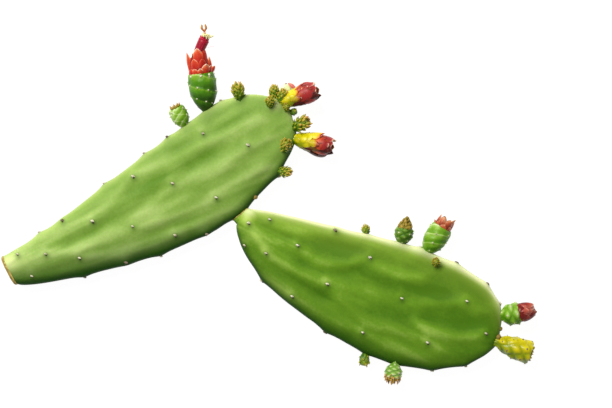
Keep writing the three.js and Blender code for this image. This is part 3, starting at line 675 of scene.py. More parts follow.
def build_pad(pad, root_parts=()):
    """A pad's fine skin, with sections of a slimmer root at its base."""
    t, turn = np.meshgrid(shares(PAD_RINGS), shares(PAD_SIDES, 360), indexing="ij")
    plain = pad_point(pad, t, turn)
    normal = pad_normal(pad, t, turn)
    rise, tone = pad_relief(pad, plain, t, turn)
    matrix = pad_matrix(pad)
    rotation = np.array(matrix.to_3x3().normalized())
    downward = DOWNWARD @ rotation
    # Painted shadow in each areole's pit, below it and at each bud's foot, and a painted highlight above each
    # areole.
    hollow = np.zeros_like(t)
    for place in pad["places"]:
        centre = pad_point(pad, *place)
        pit = mound(plain, centre, PIT["reach"])
        shadow = mound(plain, centre + SHADOW["below"] * downward, SHADOW["reach"])
        hollow = np.maximum(hollow, PIT["dark"] * pit + SHADOW["dark"] * shadow)
        tone = tone + GLEAM["tone"] * mound(plain, centre - GLEAM["above"] * downward, GLEAM["reach"])
        rise = rise - PIT["depth"] * pit
    for bud in pad["buds"]:
        foot = pad_point(pad, bud.t, bud.turn) + BUD_SHADOW["below"] * downward
        shadow = mound(plain, foot, BUD_SHADOW["reach_of_width"] * bud.width)
        hollow = np.maximum(hollow, BUD_SHADOW["dark"] * shadow)
    points = plain + normal * rise[..., None]
    # Painted light and shade by the margins' facing: pale on those towards the light, dark on those turned
    # from it, with a dark band along the margin turned from the light.
    facing = normal @ rotation.T
    margin = np.clip(MARGIN["gain"] * np.sqrt(1 - np.abs(facing[..., 2])), 0, 1)
    sunward = facing[..., :2] @ SUNNY / np.maximum(np.linalg.norm(facing[..., :2], axis=-1), 1e-6)
    across = signed_power(np.cos(np.radians(turn)), 2 / SECTION_POWER)
    strip = np.clip((np.abs(across) - PALE_STRIP["from"]) / PALE_STRIP["width"], 0, 1) ** PALE_STRIP["power"]
    pale = np.maximum(MARGIN["pale"] * margin ** MARGIN["power"], strip)
    rim = pad["rim"] * pale * np.clip(MARGIN["sunny"] * sunward, 0, 1)
    for *place, reach in pad["pale_spots"]:
        rim = np.maximum(rim, PALE_SPOT * mound(plain[..., :2], place, reach))
    first, last = pad["dark_from"]
    start = first + (last - first) * np.clip(t / DARK_EDGE["change"], 0, 1)
    edge = np.clip(DARK_EDGE["gain"] * (-across - start) / (1 - start), 0, 1) ** DARK_EDGE["power"]
    shady = margin * np.clip(-MARGIN["shady"] * sunward, 0, 1) ** MARGIN["shady_power"]
    # The tone across the pad: darker towards the margin that faces the light and paler towards the other,
    # painted shade that tempers the key light.
    values = {
        "tone": tone + pad["cross_tone"] * across * np.clip(plain[..., 0] / CROSS_TONE_FROM, 0, 1),
        "hollow": np.minimum(hollow, 1),
        "rim": rim,
        "shade": np.maximum(shady, edge),
    }
    rings = np.stack([*(neck_ring(points[0], part) for part in root_parts), *points])
    tip = skin_point(pad, 1.0, 0.0)
    tip[0] = pad["length"]
    for key, value in values.items():
        whole = np.concatenate([value[:1]] * len(root_parts) + [value])
        values[key] = (value[0, 0], whole, value[-1].mean())
    builder = Builder()
    builder.loft(rings[0].mean(axis=0), rings, tip, **values)
    return builder.object("skin_" + pad["name"], "skin_" + pad["name"], ["pad_" + pad["name"]], matrix)


def build_scar(pad):
    """The ringed cork disc of the joint at which the lower pad was picked."""
    sides = 96
    edge = skin_point(pad, np.zeros(sides), shares(sides, 360))
    middle = edge.mean(axis=0)
    rings = []
    tones = []
    for k, (size, along) in enumerate(SCAR_PROFILE):
        ring = middle + (edge - middle) * size
        rough = wander_noise(ring / 1.3 + k)
        ring = ring + (edge - middle) * (0.02 * rough)[:, None] * (size > 0.2)
        ring[:, 0] = along + 0.16 * rough
        rings.append(ring)
        tones.append(0.5 + 0.25 * rough + (0.2 if k % 3 == 1 else -0.15))
    builder = Builder()
    builder.loft(middle + (0.3, 0, 0), rings, middle - (1.9, 0, 0), tone=(0.5, tones, 0.3))
    builder.object("scar", "cork", ["joint_scar"], pad_matrix(pad))


def meeting_line(pad, ground, sides):
    """Where a pad's neck comes out of another piece's mesh: one point for each turn."""
    mesh = ground.data
    tree = BVHTree.FromPolygons([v.co for v in mesh.vertices], [face.vertices for face in mesh.polygons])
    matrix = pad_matrix(pad)
    neck = skin_point(pad, *np.meshgrid(np.linspace(0.16, 0.0, 70), shares(sides, 360), indexing="ij"))
    rows = np.stack([*neck, *(neck_ring(neck[-1], part) for part in np.linspace(0.02, 1, 50))])
    points = []
    for k in range(sides):
        for point in rows[:, k]:
            place = matrix @ Vector(point)
            nearest, normal = tree.find_nearest(place)[:2]
            if (place - nearest).dot(normal) < 0:
                break
        points.append(point)
    return np.array(points)


def build_seam(pad, ground):
    """The corky bead round the neck of a pad, where it grows from another."""
    count, sides = 140, 12
    line = meeting_line(pad, ground, count)
    line = (np.roll(line, 1, 0) + 2 * line + np.roll(line, -1, 0)) / 4
    outward = unit(line - line.mean(axis=0))
    tangent = unit(np.roll(line, -1, 0) - np.roll(line, 1, 0))
    outward = outward - tangent * np.sum(outward * tangent, axis=1, keepdims=True)
    rays = round_ring(sides, outward, np.cross(tangent, outward))
    rough = wander_noise(line[:, None] / 1.1 + rays * 0.8)
    here = np.arange(count * sides).reshape(count, sides)
    there = np.roll(here, -1, 0)
    faces = np.stack([here, np.roll(here, -1, 1), np.roll(there, -1, 1), there], -1).reshape(-1, 4)
    builder = Builder()
    # Paler on the side of the bead towards the light: painted light.
    builder.add(line[:, None] + rays * (0.5 + 0.28 * rough)[..., None], faces,
                tone=0.55 + 0.35 * rough + 0.4 * outward[:, 1:2])
    builder.object("seam", "cork", ["joint_seam"], pad_matrix(pad))


# Buds, fruit and the flower are made in a bud's own frame in millimetres: z along it, y to its left, x down.

BODY_SIDES = 72
BODY_RINGS = 60
SINK = 3.0
BARE_STUDS = 0.1
STRAY = 0.14
NET_LINE = 0.085
NET_KNOT = 0.15
HAIR_WIDTH = 0.13
HAIR_SPREAD = 1.1
# A little leaf: shares of its length and of its width.
SPIKE_PROFILE = ((-0.15, 0.85), (0.15, 1.0), (0.45, 0.85), (0.75, 0.48))

# Radius share at the foot, height share of the belly, radius share at the top, bluntness above the belly.
SCALY = (0.6, 0.55, 0.0, 2.4)
BARREL = (0.4, 0.55, 0.72, 2.4)
WIDE_BARREL = (0.45, 0.72, 0.8, 2.4)
OVARY = (0.28, 0.58, 0.83, 2.1)
POINT = (0.85, 0.25, 0.0, 1.4)
EGG = (0.8, 0.4, 0.0, 2.2)
TUBE = (1.0, 0.2, 0.55, 1.6)
CLUB = (0.55, 0.98, 0.98, 2.0)
HEAD = (0.74, 0.66, 0.0, 2.3)


def staggered(rows, rounds):
    """A lattice of tubercles in staggered rows: they stand at whole values of a * turn + b * share + e and of
    c * turn + d * share + f, and the lattice is a, b, e, c, d and f."""
    return (rounds, rows / 2, 0.3, -rounds, rows / 2, 0.3)


# A body's own lattice, rise of the tubercles and their lean, where it is smooth.
SMOOTH = (staggered(3, 4), 0, 0)
Body = namedtuple("Body", "shape low high radius lattice rise lean sink")

# The stiff sepals of the short flower bud.
STIFF = dict(bend=-0.04, cup=0.5, blunt=1.6, tones=(0.2, 0.75), deep=0.9)

# Fruit and flower buds. fruit is the green or yellow lower part. top is the ending and the look of what
# stands on it, and core its body: shape, height shares that it runs between, girth, lattice, rise and lean.
# The core is a rim of a tone or a body of tones, with spikes, scales, rings of tepals or single tepals.
# Lengths are shares of the bud's length, and widths of its width. Each row gives
# - rings: count, height share, length, width, tilt, tones, twist, bend, shade at the foot, tip and bluntness;
# - tepals: azimuth, way that the back faces, tilt, radius share, height share, length, width and form.
BUD_KINDS = {
    "fruit_young": {
        "fruit": dict(look="fresh_green", top=0.86, lattice=staggered(5, 4), net=(0.8, 0.6),
                      tones=(0.55, 0.4, 0.15)),
        "top": ("_crown", "bract"),
        "core": (TUBE, 0.86, 0.91, 0.5, staggered(3, 4)),
        "rim": 0.3,
        "spikes": dict(count=9, jitter=0.2, tilts=(8, 40), reach=1.0, long=0.16, wide=0.14,
                       tones=(0.25, 0.8)),
    },
    "fruit_yellow": {
        "fruit": dict(look="yellow", top=0.93, lattice=(6, 1.4, 0.1, -4, 3.0, 0.4), girth=1.06,
                      shape=WIDE_BARREL, tones=(0.2, 0.36, 0.16), rise=0.09, wool_tone=0.3, wool_radius=0.75,
                      dim=0.3),
        "top": ("_crown", "bract"),
        "core": (TUBE, 0.93, 0.96, 0.68, staggered(3, 4)),
        "rim": 0.25,
        "spikes": dict(count=16, jitter=0.15, tilts=(5, 30), reach=0.96, long=0.065, wide=0.09,
                       tones=(0.2, 0.7)),
    },
    "fruit_pale": {
        "fruit": dict(look="pale", top=0.97, lattice=staggered(5, 4), girth=1.0, tones=(0.7, 0.2, 0.1),
                      wool_radius=0.3),
        "top": ("_tepals", "withered"),
        "core": (TUBE, 0.95, 1.0, 0.5, staggered(3, 4)),
        "rim": 0.3,
        "form": dict(loose=14, ruffle=0.08),
        "rings": [(5, 0.2, 0.08, 0.2, 18, (0.1, 0.9), 0, -0.15, 0, 0, 2.2)],
    },
    "fruit_light": {
        "fruit": dict(look="pale", top=0.72, lattice=staggered(6, 5), rise=0.1, tones=(0.05, 0.5, 0.1),
                      wool_tone=0.75),
        "top": ("_scales", "bract"),
        "core": (EGG, 0.46, 0.81, 0.86, staggered(5, 5), 0.1, 0.1),
        "tones": (0.35, 0.2, 0.1),
        "scales": dict(count=34, long=0.19, wide=0.15, tilts=(58, 10), tones=(0.45, 0.4, 0.6)),
    },
    "bud_upper_left": {
        "fruit": dict(look="dark_green", top=0.66, lattice=staggered(5, 5), rise=0.1, tones=(0.25, 0.4, 0.1),
                      girth=1.0),
        "top": ("_scales", "bract"),
        "core": (POINT, 0.5, 1.0, 0.8, staggered(5, 5), 0.12, 0.1),
        "tones": (0.15, 0.3, 0.2),
        "scales": dict(count=26, long=0.19, wide=0.22, tilts=(24, 4), tones=(0.4, 0.1, 0.45), curve=0.3,
                       flat=0.35),
    },
    "flower_bud_short": {
        "fruit": dict(look="fresh_green", top=0.76, lattice=(5, 0.5, 0.3, -3, 2.9, 0.3), net=(0.8, 0.25),
                      tones=(0.4, 0.36, 0.2), rise=0.12),
        "top": ("_tepals", "salmon"),
        "core": (EGG, 0.66, 0.92, 0.7, *SMOOTH),
        "tones": (0.1, 0, 0.5),
        "form": dict(cup=0.5),
        "rings": [
            (8, 0.1, 0.2, 0.3, 16, (0.2, 0.6), 0, 0.1, 0.9, 0, 1.6),
            (6, 0.35, 0.24, 0.34, 6, (0.1, 0.7), 0.5, 0.14, 0.9, 0, 1.6),
        ],
        "tepals": [
            (240, 240, -1, 0.9, 0.725, 0.37, 0.3, STIFF),
            (85, 85, 38, 0.9, 0.686, 0.15, 0.3, STIFF),
        ],
    },
    "flower_bud_closed": {
        "fruit": dict(look="fresh_green", top=0.54, lattice=staggered(4, 4), rise=0.1, girth=1.0,
                      tones=(0.35, 0.35, 0.15), wool_radius=0.75, wool_tone=0.8, dim=0.15),
        "top": ("_tepals", "brick"),
        "core": (POINT, 0.44, 0.96, 0.9, *SMOOTH),
        "tones": (0.0, 0, 0.1),
        "form": dict(maroon=0.6, cup=0.7, edge=0.45),
        "rings": [
            (6, 0.1, 0.3, 0.5, 19, (0.2, 0.7), 0, 0.3, 0.2, 0, 2.2),
            (5, 0.28, 0.33, 0.5, 10, (0.2, 0.8), 0.5, 0.44, 1.0, 0, 2.2),
            (3, 0.52, 0.27, 0.44, -4, (0.2, 0.9), 0, 0.4, 1.2, 0, 2.2),
        ],
    },
    "flower_bud_tip": {
        "fruit": dict(look="yellow", top=0.42, lattice=(5, 0.6, 0.3, -2, 1.6, 0.3), girth=0.72, shape=CLUB,
                      tones=(0.36, 0.3, 0.1), rise=0.04, wool_radius=0.35, dim=0.45),
        "top": ("_tepals", "sunset"),
        "core": (HEAD, 0.34, 0.95, 0.86, *SMOOTH),
        "tones": (0.3, 0, 0.3),
        "form": dict(maroon=1.0, cup=0.5, edge=0.3, ruffle=0.06),
        "base_rings": [
            (6, 0.42, 0.26, 0.28, 10, (-0.3, 0.1), 0.0, 0.05, 0, 0.9, 1.5),
            (8, 0.7, 0.32, 0.34, 13, (-0.3, 0.5), 0.3, 0.06, 0, 0.6, 1.7),
        ],
        "rings": [
            (9, 0.08, 0.3, 0.32, 17, (-0.05, 0.6), 0.5, 0.12, 0.9, 0.6, 1.8),
            (8, 0.3, 0.32, 0.36, 14, (0.3, 0.7), 0.2, 0.2, 0.9, 0.4, 2.0),
            (7, 0.52, 0.3, 0.4, 6, (0.4, 0.75), 0.4, 0.24, 0.9, 0.3, 2.2),
            (5, 0.72, 0.24, 0.42, -4, (0.4, 0.8), 0.1, 0.2, 0.9, 0.2, 2.4),
        ],
        "tepals": [
            (100, 135, 20, 0.74, 0.42, 0.46, 0.5, dict(cup=0.6, curl=-0.2, tones=(0.2, 0.9), blunt=2.6)),
            (92, 180, 128, 0.94, 0.47, 0.21, 0.19, dict(cup=0.5, ruffle=0.12, tones=(0.78, 0.9), blunt=2.2)),
        ],
    },
    "flower_bud_right": {
        "fruit": dict(look="yellow", top=0.46, lattice=(5, 1.0, 0.1, -3, 2.0, 0.3), girth=0.84, shape=CLUB,
                      tones=(0.25, 0.4, 0.3), rise=0.05, wool_tone=0.5, wool_radius=0.45, dim=0.3),
        "top": ("_tepals", "sunset"),
        "core": (HEAD, 0.36, 0.96, 0.88, *SMOOTH),
        "tones": (0.1, 0, 0.5),
        "form": dict(maroon=1.0, cup=0.5, edge=0.3, ruffle=0.03),
        "base_rings": [
            (6, 0.3, 0.2, 0.24, 13, (-0.5, -0.25), 0.0, 0.05, 0, 1.4, 1.5),
            (7, 0.58, 0.3, 0.32, 13, (-0.4, 0.15), 0.4, 0.06, 0, 0.9, 1.6),
            (8, 0.84, 0.34, 0.36, 14, (-0.35, 0.4), 0.0, 0.12, 0, 0.6, 1.8),
        ],
        "rings": [
            (8, 0.22, 0.34, 0.4, 13, (0.05, 0.7), 0.25, 0.22, 0.9, 0.4, 2.0),
            (7, 0.46, 0.32, 0.42, 7, (0.35, 0.8), 0.4, 0.28, 0.9, 0.2, 2.2),
            (5, 0.68, 0.26, 0.42, -4, (0.4, 0.85), 0.1, 0.26, 0.9, 0.2, 2.2),
        ],
        "tepals": [
            (262, 225, 14, 0.8, 0.4, 0.48, 0.7,
             dict(bend=0.3, cup=0.45, tones=(0.4, 0.7), shade=1.0, blunt=3.0)),
        ],
    },
}
# Young buds: how many little leaves, how long and wide they are, and how many rows of studs are under them.
LEAFY_BUD = (38, 0.3, 0.22, 6)
BARE_BUDS = {
    "bud_tip_dot": (7, 0.15, 0.2, 4),
    "bud_upper_right": (12, 0.21, 0.2, 4),
    "bud_upper_dot": (26, 0.27, 0.2, 4),
}


def stray(body, turn, share):
    """How far a body's tubercles stray from their lattice at a place, in its two directions."""
    place = 1.4 * ray_at(2 * np.pi * turn) + UP * (3 * share + body.high)[..., None]
    return STRAY * wander_noise(place), STRAY * wander_noise(place + 11)


def body_of(bud, shape, low, high, girth, lattice, rise=0.08, lean=0.06):
    """A body between two height shares of a bud, whose girth is a share of the bud's width."""
    sink = SINK if low == 0 else 0.0
    return Body(shape, low * bud.length, high * bud.length, girth * bud.width / 2, lattice, rise, lean, sink)


def outline(shape, u):
    """Radius of a body at the height share u, as a share of its widest radius."""
    foot, belly, top, power = shape
    u = np.asarray(u, float)
    low = foot + (1 - foot) * np.sin(np.pi / 2 * np.clip(u / belly, 0, 1))
    rise = np.clip((u - belly) / (1 - belly), 0, 1)
    high = top + (1 - top) * np.maximum(1 - rise ** power, 0) ** (1 / power)
    return np.where(u < belly, low, high)


def on_body(body, ray, u, swell=0.0):
    """The point at the height share u of a body, on its side that a ray points to."""
    reach = float(outline(body.shape, u)) * body.radius * (1 + swell * body.rise)
    return ray * reach + UP * (body.low + u * (body.high - body.low))


def height_share(body, share):
    """A pointed body's rings draw together towards its tip."""
    return share if body.shape[2] > 0 else np.sin(np.pi / 2 * share)


def stud_places(body):
    """Where a body's tubercles stand: points, outward directions and height shares."""
    a, b, e, c, d, f = body.lattice
    whole = np.arange(-30, 31)
    p, q = (number.ravel() for number in np.meshgrid(whole, whole, indexing="ij"))
    shift = (0.0, 0.0)
    for _ in range(3):
        first, second = p - e - shift[0], q - f - shift[1]
        turn = (d * first - b * second) / (a * d - b * c)
        share = (a * second - c * first) / (a * d - b * c)
        shift = stray(body, turn, share)
    found = (turn >= 0) & (turn < 1) & (share >= 0) & (share <= 1)
    rays = ray_at(2 * np.pi * turn[found])
    u = height_share(body, share[found])
    reach = outline(body.shape, u) * body.radius * (1 + 0.75 * body.rise)
    heights = body.low + u * (body.high - body.low) + body.lean * body.radius
    return zip(rays * reach[:, None] + UP * heights[:, None], rays, u)


def add_body(builder, body, tones, net=None, dim=0.0):
    """A body of revolution drawn out into tubercles, which grooves part or the ridges of a net join. Its
    tubercles carry painted light and shade, and its side turned from the light is darker: painted shade."""
    pointed = body.shape[2] == 0
    share = np.linspace(0, 1, BODY_RINGS)
    share, turn = np.meshgrid(share[:-1] if pointed else share, shares(BODY_SIDES), indexing="ij")
    rays = ray_at(2 * np.pi * turn)
    u = height_share(body, share)
    a, b, e, c, d, f = body.lattice
    shift = stray(body, turn, share)
    first = a * turn + b * share + e + shift[0]
    second = c * turn + d * share + f + shift[1]
    band = second - np.floor(second)
    first = np.abs(first - np.round(first))
    second = np.abs(second - np.round(second))
    bulge = np.cos(np.pi * first) * np.cos(np.pi * second)
    if net:
        rows, columns = (np.exp(-(place / NET_LINE) ** 2) for place in (second, first))
        lines = np.maximum(net[0] * rows, net[1] * columns)
        knot = np.exp(-(first ** 2 + second ** 2) / NET_KNOT ** 2)
        height = 0.5 * lines + 0.5 * knot - 0.3 + 0.5 * (1 - bulge)
        # Pale along the net and at its knots; and painted light and shade on the bulges: each band between
        # rows paler at its upper part and darker at its lower.
        pale = 0.7 * lines + 0.3 * knot + 0.8 * (band - 0.6)
    else:
        height = 1.4 * bulge ** 0.8 - 0.5
        # Painted shade: paler on the tubercles' tops and darker in the grooves between them.
        pale = bulge ** 1.5
    plain = outline(body.shape, u) * body.radius
    rise = u * (body.high - body.low)
    place = rays * plain[..., None] + UP * rise[..., None]
    lump = 0.035 * body.radius * wander_noise(place / (0.55 * body.radius) + 5)
    slim = np.minimum(plain / (0.35 * body.radius), 1)
    reach = plain + body.rise * body.radius * height * slim + lump
    z = body.low + rise + body.lean * body.radius * np.clip(height, 0, 1)
    rings = rays * reach[..., None] + UP * z[..., None]
    base, ridge, tip = tones
    # Painted shade: darker on the side turned from the light.
    values = base + ridge * pale + tip * u + dim * rays[..., 1]
    if body.sink > 0:
        rings = np.concatenate([rings[:1] * (1, 1, 0) + UP * (body.low - body.sink), rings])
        values = np.concatenate([values[:1], values])
    if not pointed:
        for part, drop in ((0.8, 0.05), (0.45, 0.16)):
            rings = np.concatenate([rings, rings[-1:] * (part, part, 1) - UP * drop * body.radius])
            values = np.concatenate([values, values[-1:]])
    last = UP * body.high if pointed else rings[-1].mean(axis=0)
    builder.loft(rings[0].mean(axis=0), rings, last, tone=(values[0].mean(), values, values[-1].mean()))


def blade_frame(azimuth, tilt, face=None):
    """A leaf's place round a bud, its direction and the way that its back faces."""
    lean = math.radians(tilt)
    ray = ray_at(azimuth)
    forward = UP * math.cos(lean) + ray * math.sin(lean)
    outward = ray if face is None else ray_at(face)
    return ray, forward, unit(outward - forward * forward.dot(outward))


def add_spike(builder, root, forward, outward, length, width, curve, tones, flat=0.6):
    """A pointed little leaf: a cone, flattened and bent inwards."""
    section = round_ring(6, np.cross(forward, outward), outward * flat)
    rings = []
    steps = []
    for at, size in SPIKE_PROFILE:
        centre = root + forward * length * at - outward * curve * length * max(at, 0) ** 2
        rings.append(centre + section * width / 2 * size)
        steps.append(tones[0] + (tones[1] - tones[0]) * max(at, 0))
    tip = root + forward * length - outward * curve * length
    builder.loft(rings[0].mean(axis=0), rings, tip, tone=(tones[0], steps, tones[1]))


def add_tepal(builder, root, forward, outward, length, width, bend=0.2, cup=0.35, ruffle=0.0, curl=0.0,
              blunt=2.2, tones=(0.0, 1.0), shade=0.0, phase=0.0, tip=0.0, edge=0.2, deep=0.0):
    """A petal-like leaf: a thin closed shell, cupped round the bud, with a rounded or pointed end."""
    rows, columns, thick = 17, 11, 0.4
    side = np.cross(forward, outward)
    v, w = np.meshgrid(np.linspace(0, 1, rows), np.linspace(-1, 1, columns), indexing="ij")
    narrow = 0.55 + 0.45 * np.sin(np.pi / 2 * np.clip(v / 0.55, 0, 1))
    taper = np.maximum(1 - np.clip((v - 0.5) / 0.5, 0, 1) ** blunt, 0.0) ** 0.75
    half = width / 2 * np.maximum(narrow * taper, 0.03)
    wave = ruffle * width * v * np.sin(5.2 * w + 9 * v + phase) * np.abs(w) ** 0.7
    crease = 0.04 * width * (np.exp(-(w / 0.16) ** 2) - 0.4 * np.cos(9 * w)) * (1 - v)
    lift = wave + crease - bend * length * v ** 2 - cup * half * w ** 2
    lift = lift + 5 * curl * length * np.clip(v - 0.6, 0, 1) ** 2
    outer = root + forward * (length * v)[..., None] + side * (half * w)[..., None]
    outer = outer + outward * lift[..., None]
    inner = outer - outward * (thick * (1 - 0.5 * v) * (1 - 0.4 * w ** 2))[..., None]
    count = rows * columns
    here = np.arange(count).reshape(rows, columns)
    quads = np.stack([here[:-1, :-1], here[:-1, 1:], here[1:, 1:], here[1:, :-1]], -1).reshape(-1, 4)
    around = np.concatenate([here[0], here[1:, -1], here[-1, -2::-1], here[-2:0:-1, 0]])
    after = np.roll(around, -1)
    faces = [*np.stack([quads, count + quads[:, [0, 3, 2, 1]]], 1).reshape(-1, 4),
             *np.stack([after, around, count + around, count + after], -1)]
    values = tones[0] + (tones[1] - tones[0]) * v ** 1.7 + edge * np.abs(w) ** 2.5 * (0.3 + 0.7 * v)
    values = values + 0.05 * np.sin(11 * w + phase) * (1 - v)
    values = values + tip * np.clip((v - 0.86) / 0.1, 0, 1) * (1 - 0.5 * w ** 2)
    # Painted shade at the foot, where the tepals before it overlap, added to the given shade.
    shades = np.clip(shade + deep * (1 - v) ** 2, 0, 1)
    builder.add(np.stack([outer, inner]), faces, tone=np.stack([values] * 2), shade=np.stack([shades] * 2))


def add_tube(builder, points, radii, sides, tones):
    """A round thread or stalk along a line of points, with its two ends closed."""
    points = np.asarray(points, float)
    radii = np.broadcast_to(np.asarray(radii, float), (len(points),))
    tangent = unit(np.gradient(points, axis=0))
    side = unit(np.cross(tangent, np.array([1.0, 0.13, 0.07])))
    rings = points[:, None] + round_ring(sides, side, np.cross(tangent, side)) * radii[:, None, None]
    steps = np.linspace(*tones, len(points))
    builder.loft(points[0], rings, points[-1], tone=(tones[0], steps, tones[1]))


def across_of(normal):
    """Two directions at right angles to a normal and to each other."""
    side = unit(np.cross(normal, np.array([0.31, 0.52, 0.8])))
    return side, np.cross(normal, side)


def add_lump(builder, centre, normal, radius, height, tone, rough=0.2):
    """A small rough cushion that stands on a surface."""
    sides = 10
    section = round_ring(sides, *across_of(normal))
    cells = round_ring(sides, (0, 1.7, 0), (0, 0, 1.7))
    rings = []
    for climb in (-0.5, 0.0, 0.45, 0.8):
        noise = wander_noise(cells + (centre[0], centre[1], climb))
        size = radius * math.sqrt(max(1 - climb ** 2, 0.05)) * (1 + rough * noise)
        rings.append(centre + normal * height * climb + section * size[:, None])
    builder.loft(centre - normal * height * 0.5, rings, centre + normal * height, tone=tone)


def add_hairs(builder, centre, normal, radius, length, count, rng, tone):
    """Short stiff hairs that fan out from an areole: slim four-sided points."""
    side, other = across_of(normal)
    for _ in range(count):
        azimuth = rng.uniform(0, 2 * math.pi)
        far = rng.uniform(0, 1) ** 0.6
        ray = side * math.cos(azimuth) + other * math.sin(azimuth)
        root = centre + ray * radius * 0.8 * far
        step = (normal + ray * far * HAIR_SPREAD) * length * rng.uniform(0.6, 1.1)
        left, right = (direction * HAIR_WIDTH / 2 for direction in across_of(unit(step)))
        heel = root - left / 2
        corners = [root + left, heel + right, heel - right, root + step]
        builder.add(corners, [(0, 2, 1), (0, 1, 3), (1, 2, 3), (2, 0, 3)], tone=tone * rng.uniform(0.85, 1.1))


def add_wool(builder, centre, normal, radius, rng, tone=0.9, hairs=12):
    """The woolly cushion of an areole with its hairs."""
    normal = unit(normal)
    add_lump(builder, centre, normal, radius, 0.75 * radius, tone * 0.9)
    add_hairs(builder, centre, normal, radius, 1.5 * radius, hairs, rng, tone)


def add_areole(builder, centre, normal, radius, rng, tone):
    """The areole of a pad: a cushion of cream wool with dark bristles on its lower right side, away from the
    light, which partly stand in for its shade.
    """
    normal = unit(normal)
    down = DOWNWARD - normal * DOWNWARD.dot(normal)
    # Dark bristles on the lower right, away from the light: partly their own brown, partly painted shade.
    add_lump(builder, centre + down * 0.95 * radius, normal, 0.72 * radius, 0.5 * radius, 0.04)
    centre = centre - down * 0.15 * radius
    along = np.array([0.85, -0.3, 0.0]) * radius
    for shift, size in ((-0.75, 0.55), (0.75, 0.6), (0.0, 0.75)):
        add_lump(builder, centre + along * shift, normal, size * radius, size * radius, tone)
    add_hairs(builder, centre, normal, 0.7 * radius, 1.1 * radius, 14 if normal[2] > -0.3 else 0, rng, tone)


def dress_studs(wool, body, matrix, rng, radius, tone):
    """Wool on most of a body's tubercles, in the object's frame in millimetres."""
    for point, ray, u in stud_places(body):
        if not 0.06 < u < 0.98 or rng.random() < BARE_STUDS:
            continue
        centre, normal = in_object(matrix, point, ray + 0.45 * UP)
        size = radius * rng.uniform(0.75, 1.2)
        add_wool(wool, centre, normal, size, rng, tone * rng.uniform(0.85, 1.1), 7)


def add_scales(builder, body, bud, rng, count, long, wide, tilts, tones, curve=0.25, flat=0.6):
    """Small fleshy leaves all over a body in a spiral, from a spreading foot to an upright top."""
    for k in range(count):
        share = (k + 0.5) / count
        u = float(np.clip(0.04 + 0.96 * share ** 0.8 + rng.uniform(-0.03, 0.03), 0, 1))
        tilt = tilts[0] + (tilts[1] - tilts[0]) * share + rng.uniform(-14, 14)
        ray, forward, outward = blade_frame(k * GOLDEN_ANGLE + rng.uniform(-0.2, 0.2), tilt)
        foot = tones[0] + (tones[1] - tones[0]) * u + rng.uniform(-0.08, 0.08)
        tip = min(foot + tones[2] * rng.uniform(0.6, 1.15), 1.0)
        size = rng.uniform(0.8, 1.2) * (0.8 + 0.3 * share) * bud.width
        root = on_body(body, ray, u)
        add_spike(builder, root, forward, outward, long * size, wide * size, curve, (foot, tip), flat)


def add_spikes(builder, body, bud, rng, count, jitter, tilts, reach, long, wide, tones):
    """A crown of little leaves round the foot of a body."""
    for k in range(count):
        azimuth = 2 * math.pi * k / count + rng.uniform(-jitter, jitter)
        ray, forward, outward = blade_frame(azimuth, rng.uniform(*tilts))
        add_spike(builder, ray * body.radius * reach + UP * body.low, forward, outward, long * bud.length,
                  wide * bud.width, 0.2, tones)


def add_ring(builder, body, bud, rng, row, loose=6.0, maroon=0.0, **form):
    """A ring of tepals round a body. Those on the lower side, turned from the light, are darkened: partly
    their own maroon, partly painted shade.
    """
    count, u, long, wide, tilt, tones, twist, bend, deep, tip, blunt = row
    for k in range(count):
        azimuth = 2 * math.pi * (k + twist + rng.uniform(-0.12, 0.12)) / count
        ray, forward, outward = blade_frame(azimuth, tilt + rng.uniform(-loose, loose))
        # Darker on the lower side: partly the tepals' own maroon, partly painted shade.
        under = min(max(0.0, -math.sin(azimuth) + 0.25), 1.0)
        add_tepal(builder, on_body(body, ray, u, 0.5), forward, outward,
                  long * bud.length * rng.uniform(0.85, 1.1), wide * bud.width * rng.uniform(0.85, 1.1),
                  bend=bend, deep=deep, tip=tip, blunt=blunt, shade=maroon * under, phase=rng.uniform(0, 6),
                  tones=np.array(tones) + rng.uniform(-0.1, 0.1), **form)


def add_rim(builder, low, high, radius, tone):
    """A dished disc with a rounded rim, which closes the top of a fruit."""
    thick = high - low
    circle = round_ring(40, (radius, 0, 0), (0, radius, 0))
    profile = ((0.9, 0.0), (1.0, 0.4), (0.95, 1.0), (0.75, 0.8), (0.4, 0.3))
    rings = [circle * part + UP * (low + share * thick) for part, share in profile]
    builder.loft(UP * low, rings, UP * (low + 0.2 * thick), tone=tone)


def build_young_bud(bud, matrix, rng, count, long, wide, rows):
    """A very young bud: an egg covered with small fleshy leaves."""
    core = body_of(bud, SCALY, 0, high=0.9, girth=0.8, lattice=staggered(rows, 5), rise=0.1, lean=0.05)
    builder = Builder()
    add_body(builder, core, tones=(0.14, 0.12, 0.25), dim=0.08)
    add_scales(builder, core, bud, rng, count, long, wide, tilts=(72, 14), tones=(0.2, 0.45, 0.5))
    builder.object("leaves_" + bud.name, "scale", [bud.name], matrix)


def build_fruit(bud, node, matrix, rng, wool, look, top, lattice, girth=0.94, shape=BARREL, net=None,
                tones=(0.35, 0.35, 0.1), rise=0.08, wool_tone=0.7, wool_radius=0.5, dim=0.12):
    """The green or yellow lower part of a bud or fruit, with wool on its tubercles."""
    body = body_of(bud, shape, 0, top, girth, lattice, rise)
    builder = Builder()
    add_body(builder, body, tones, net, dim)
    builder.object("skin_" + node, look, [node], matrix)
    dress_studs(wool, body, matrix, rng, wool_radius, wool_tone)
    return body


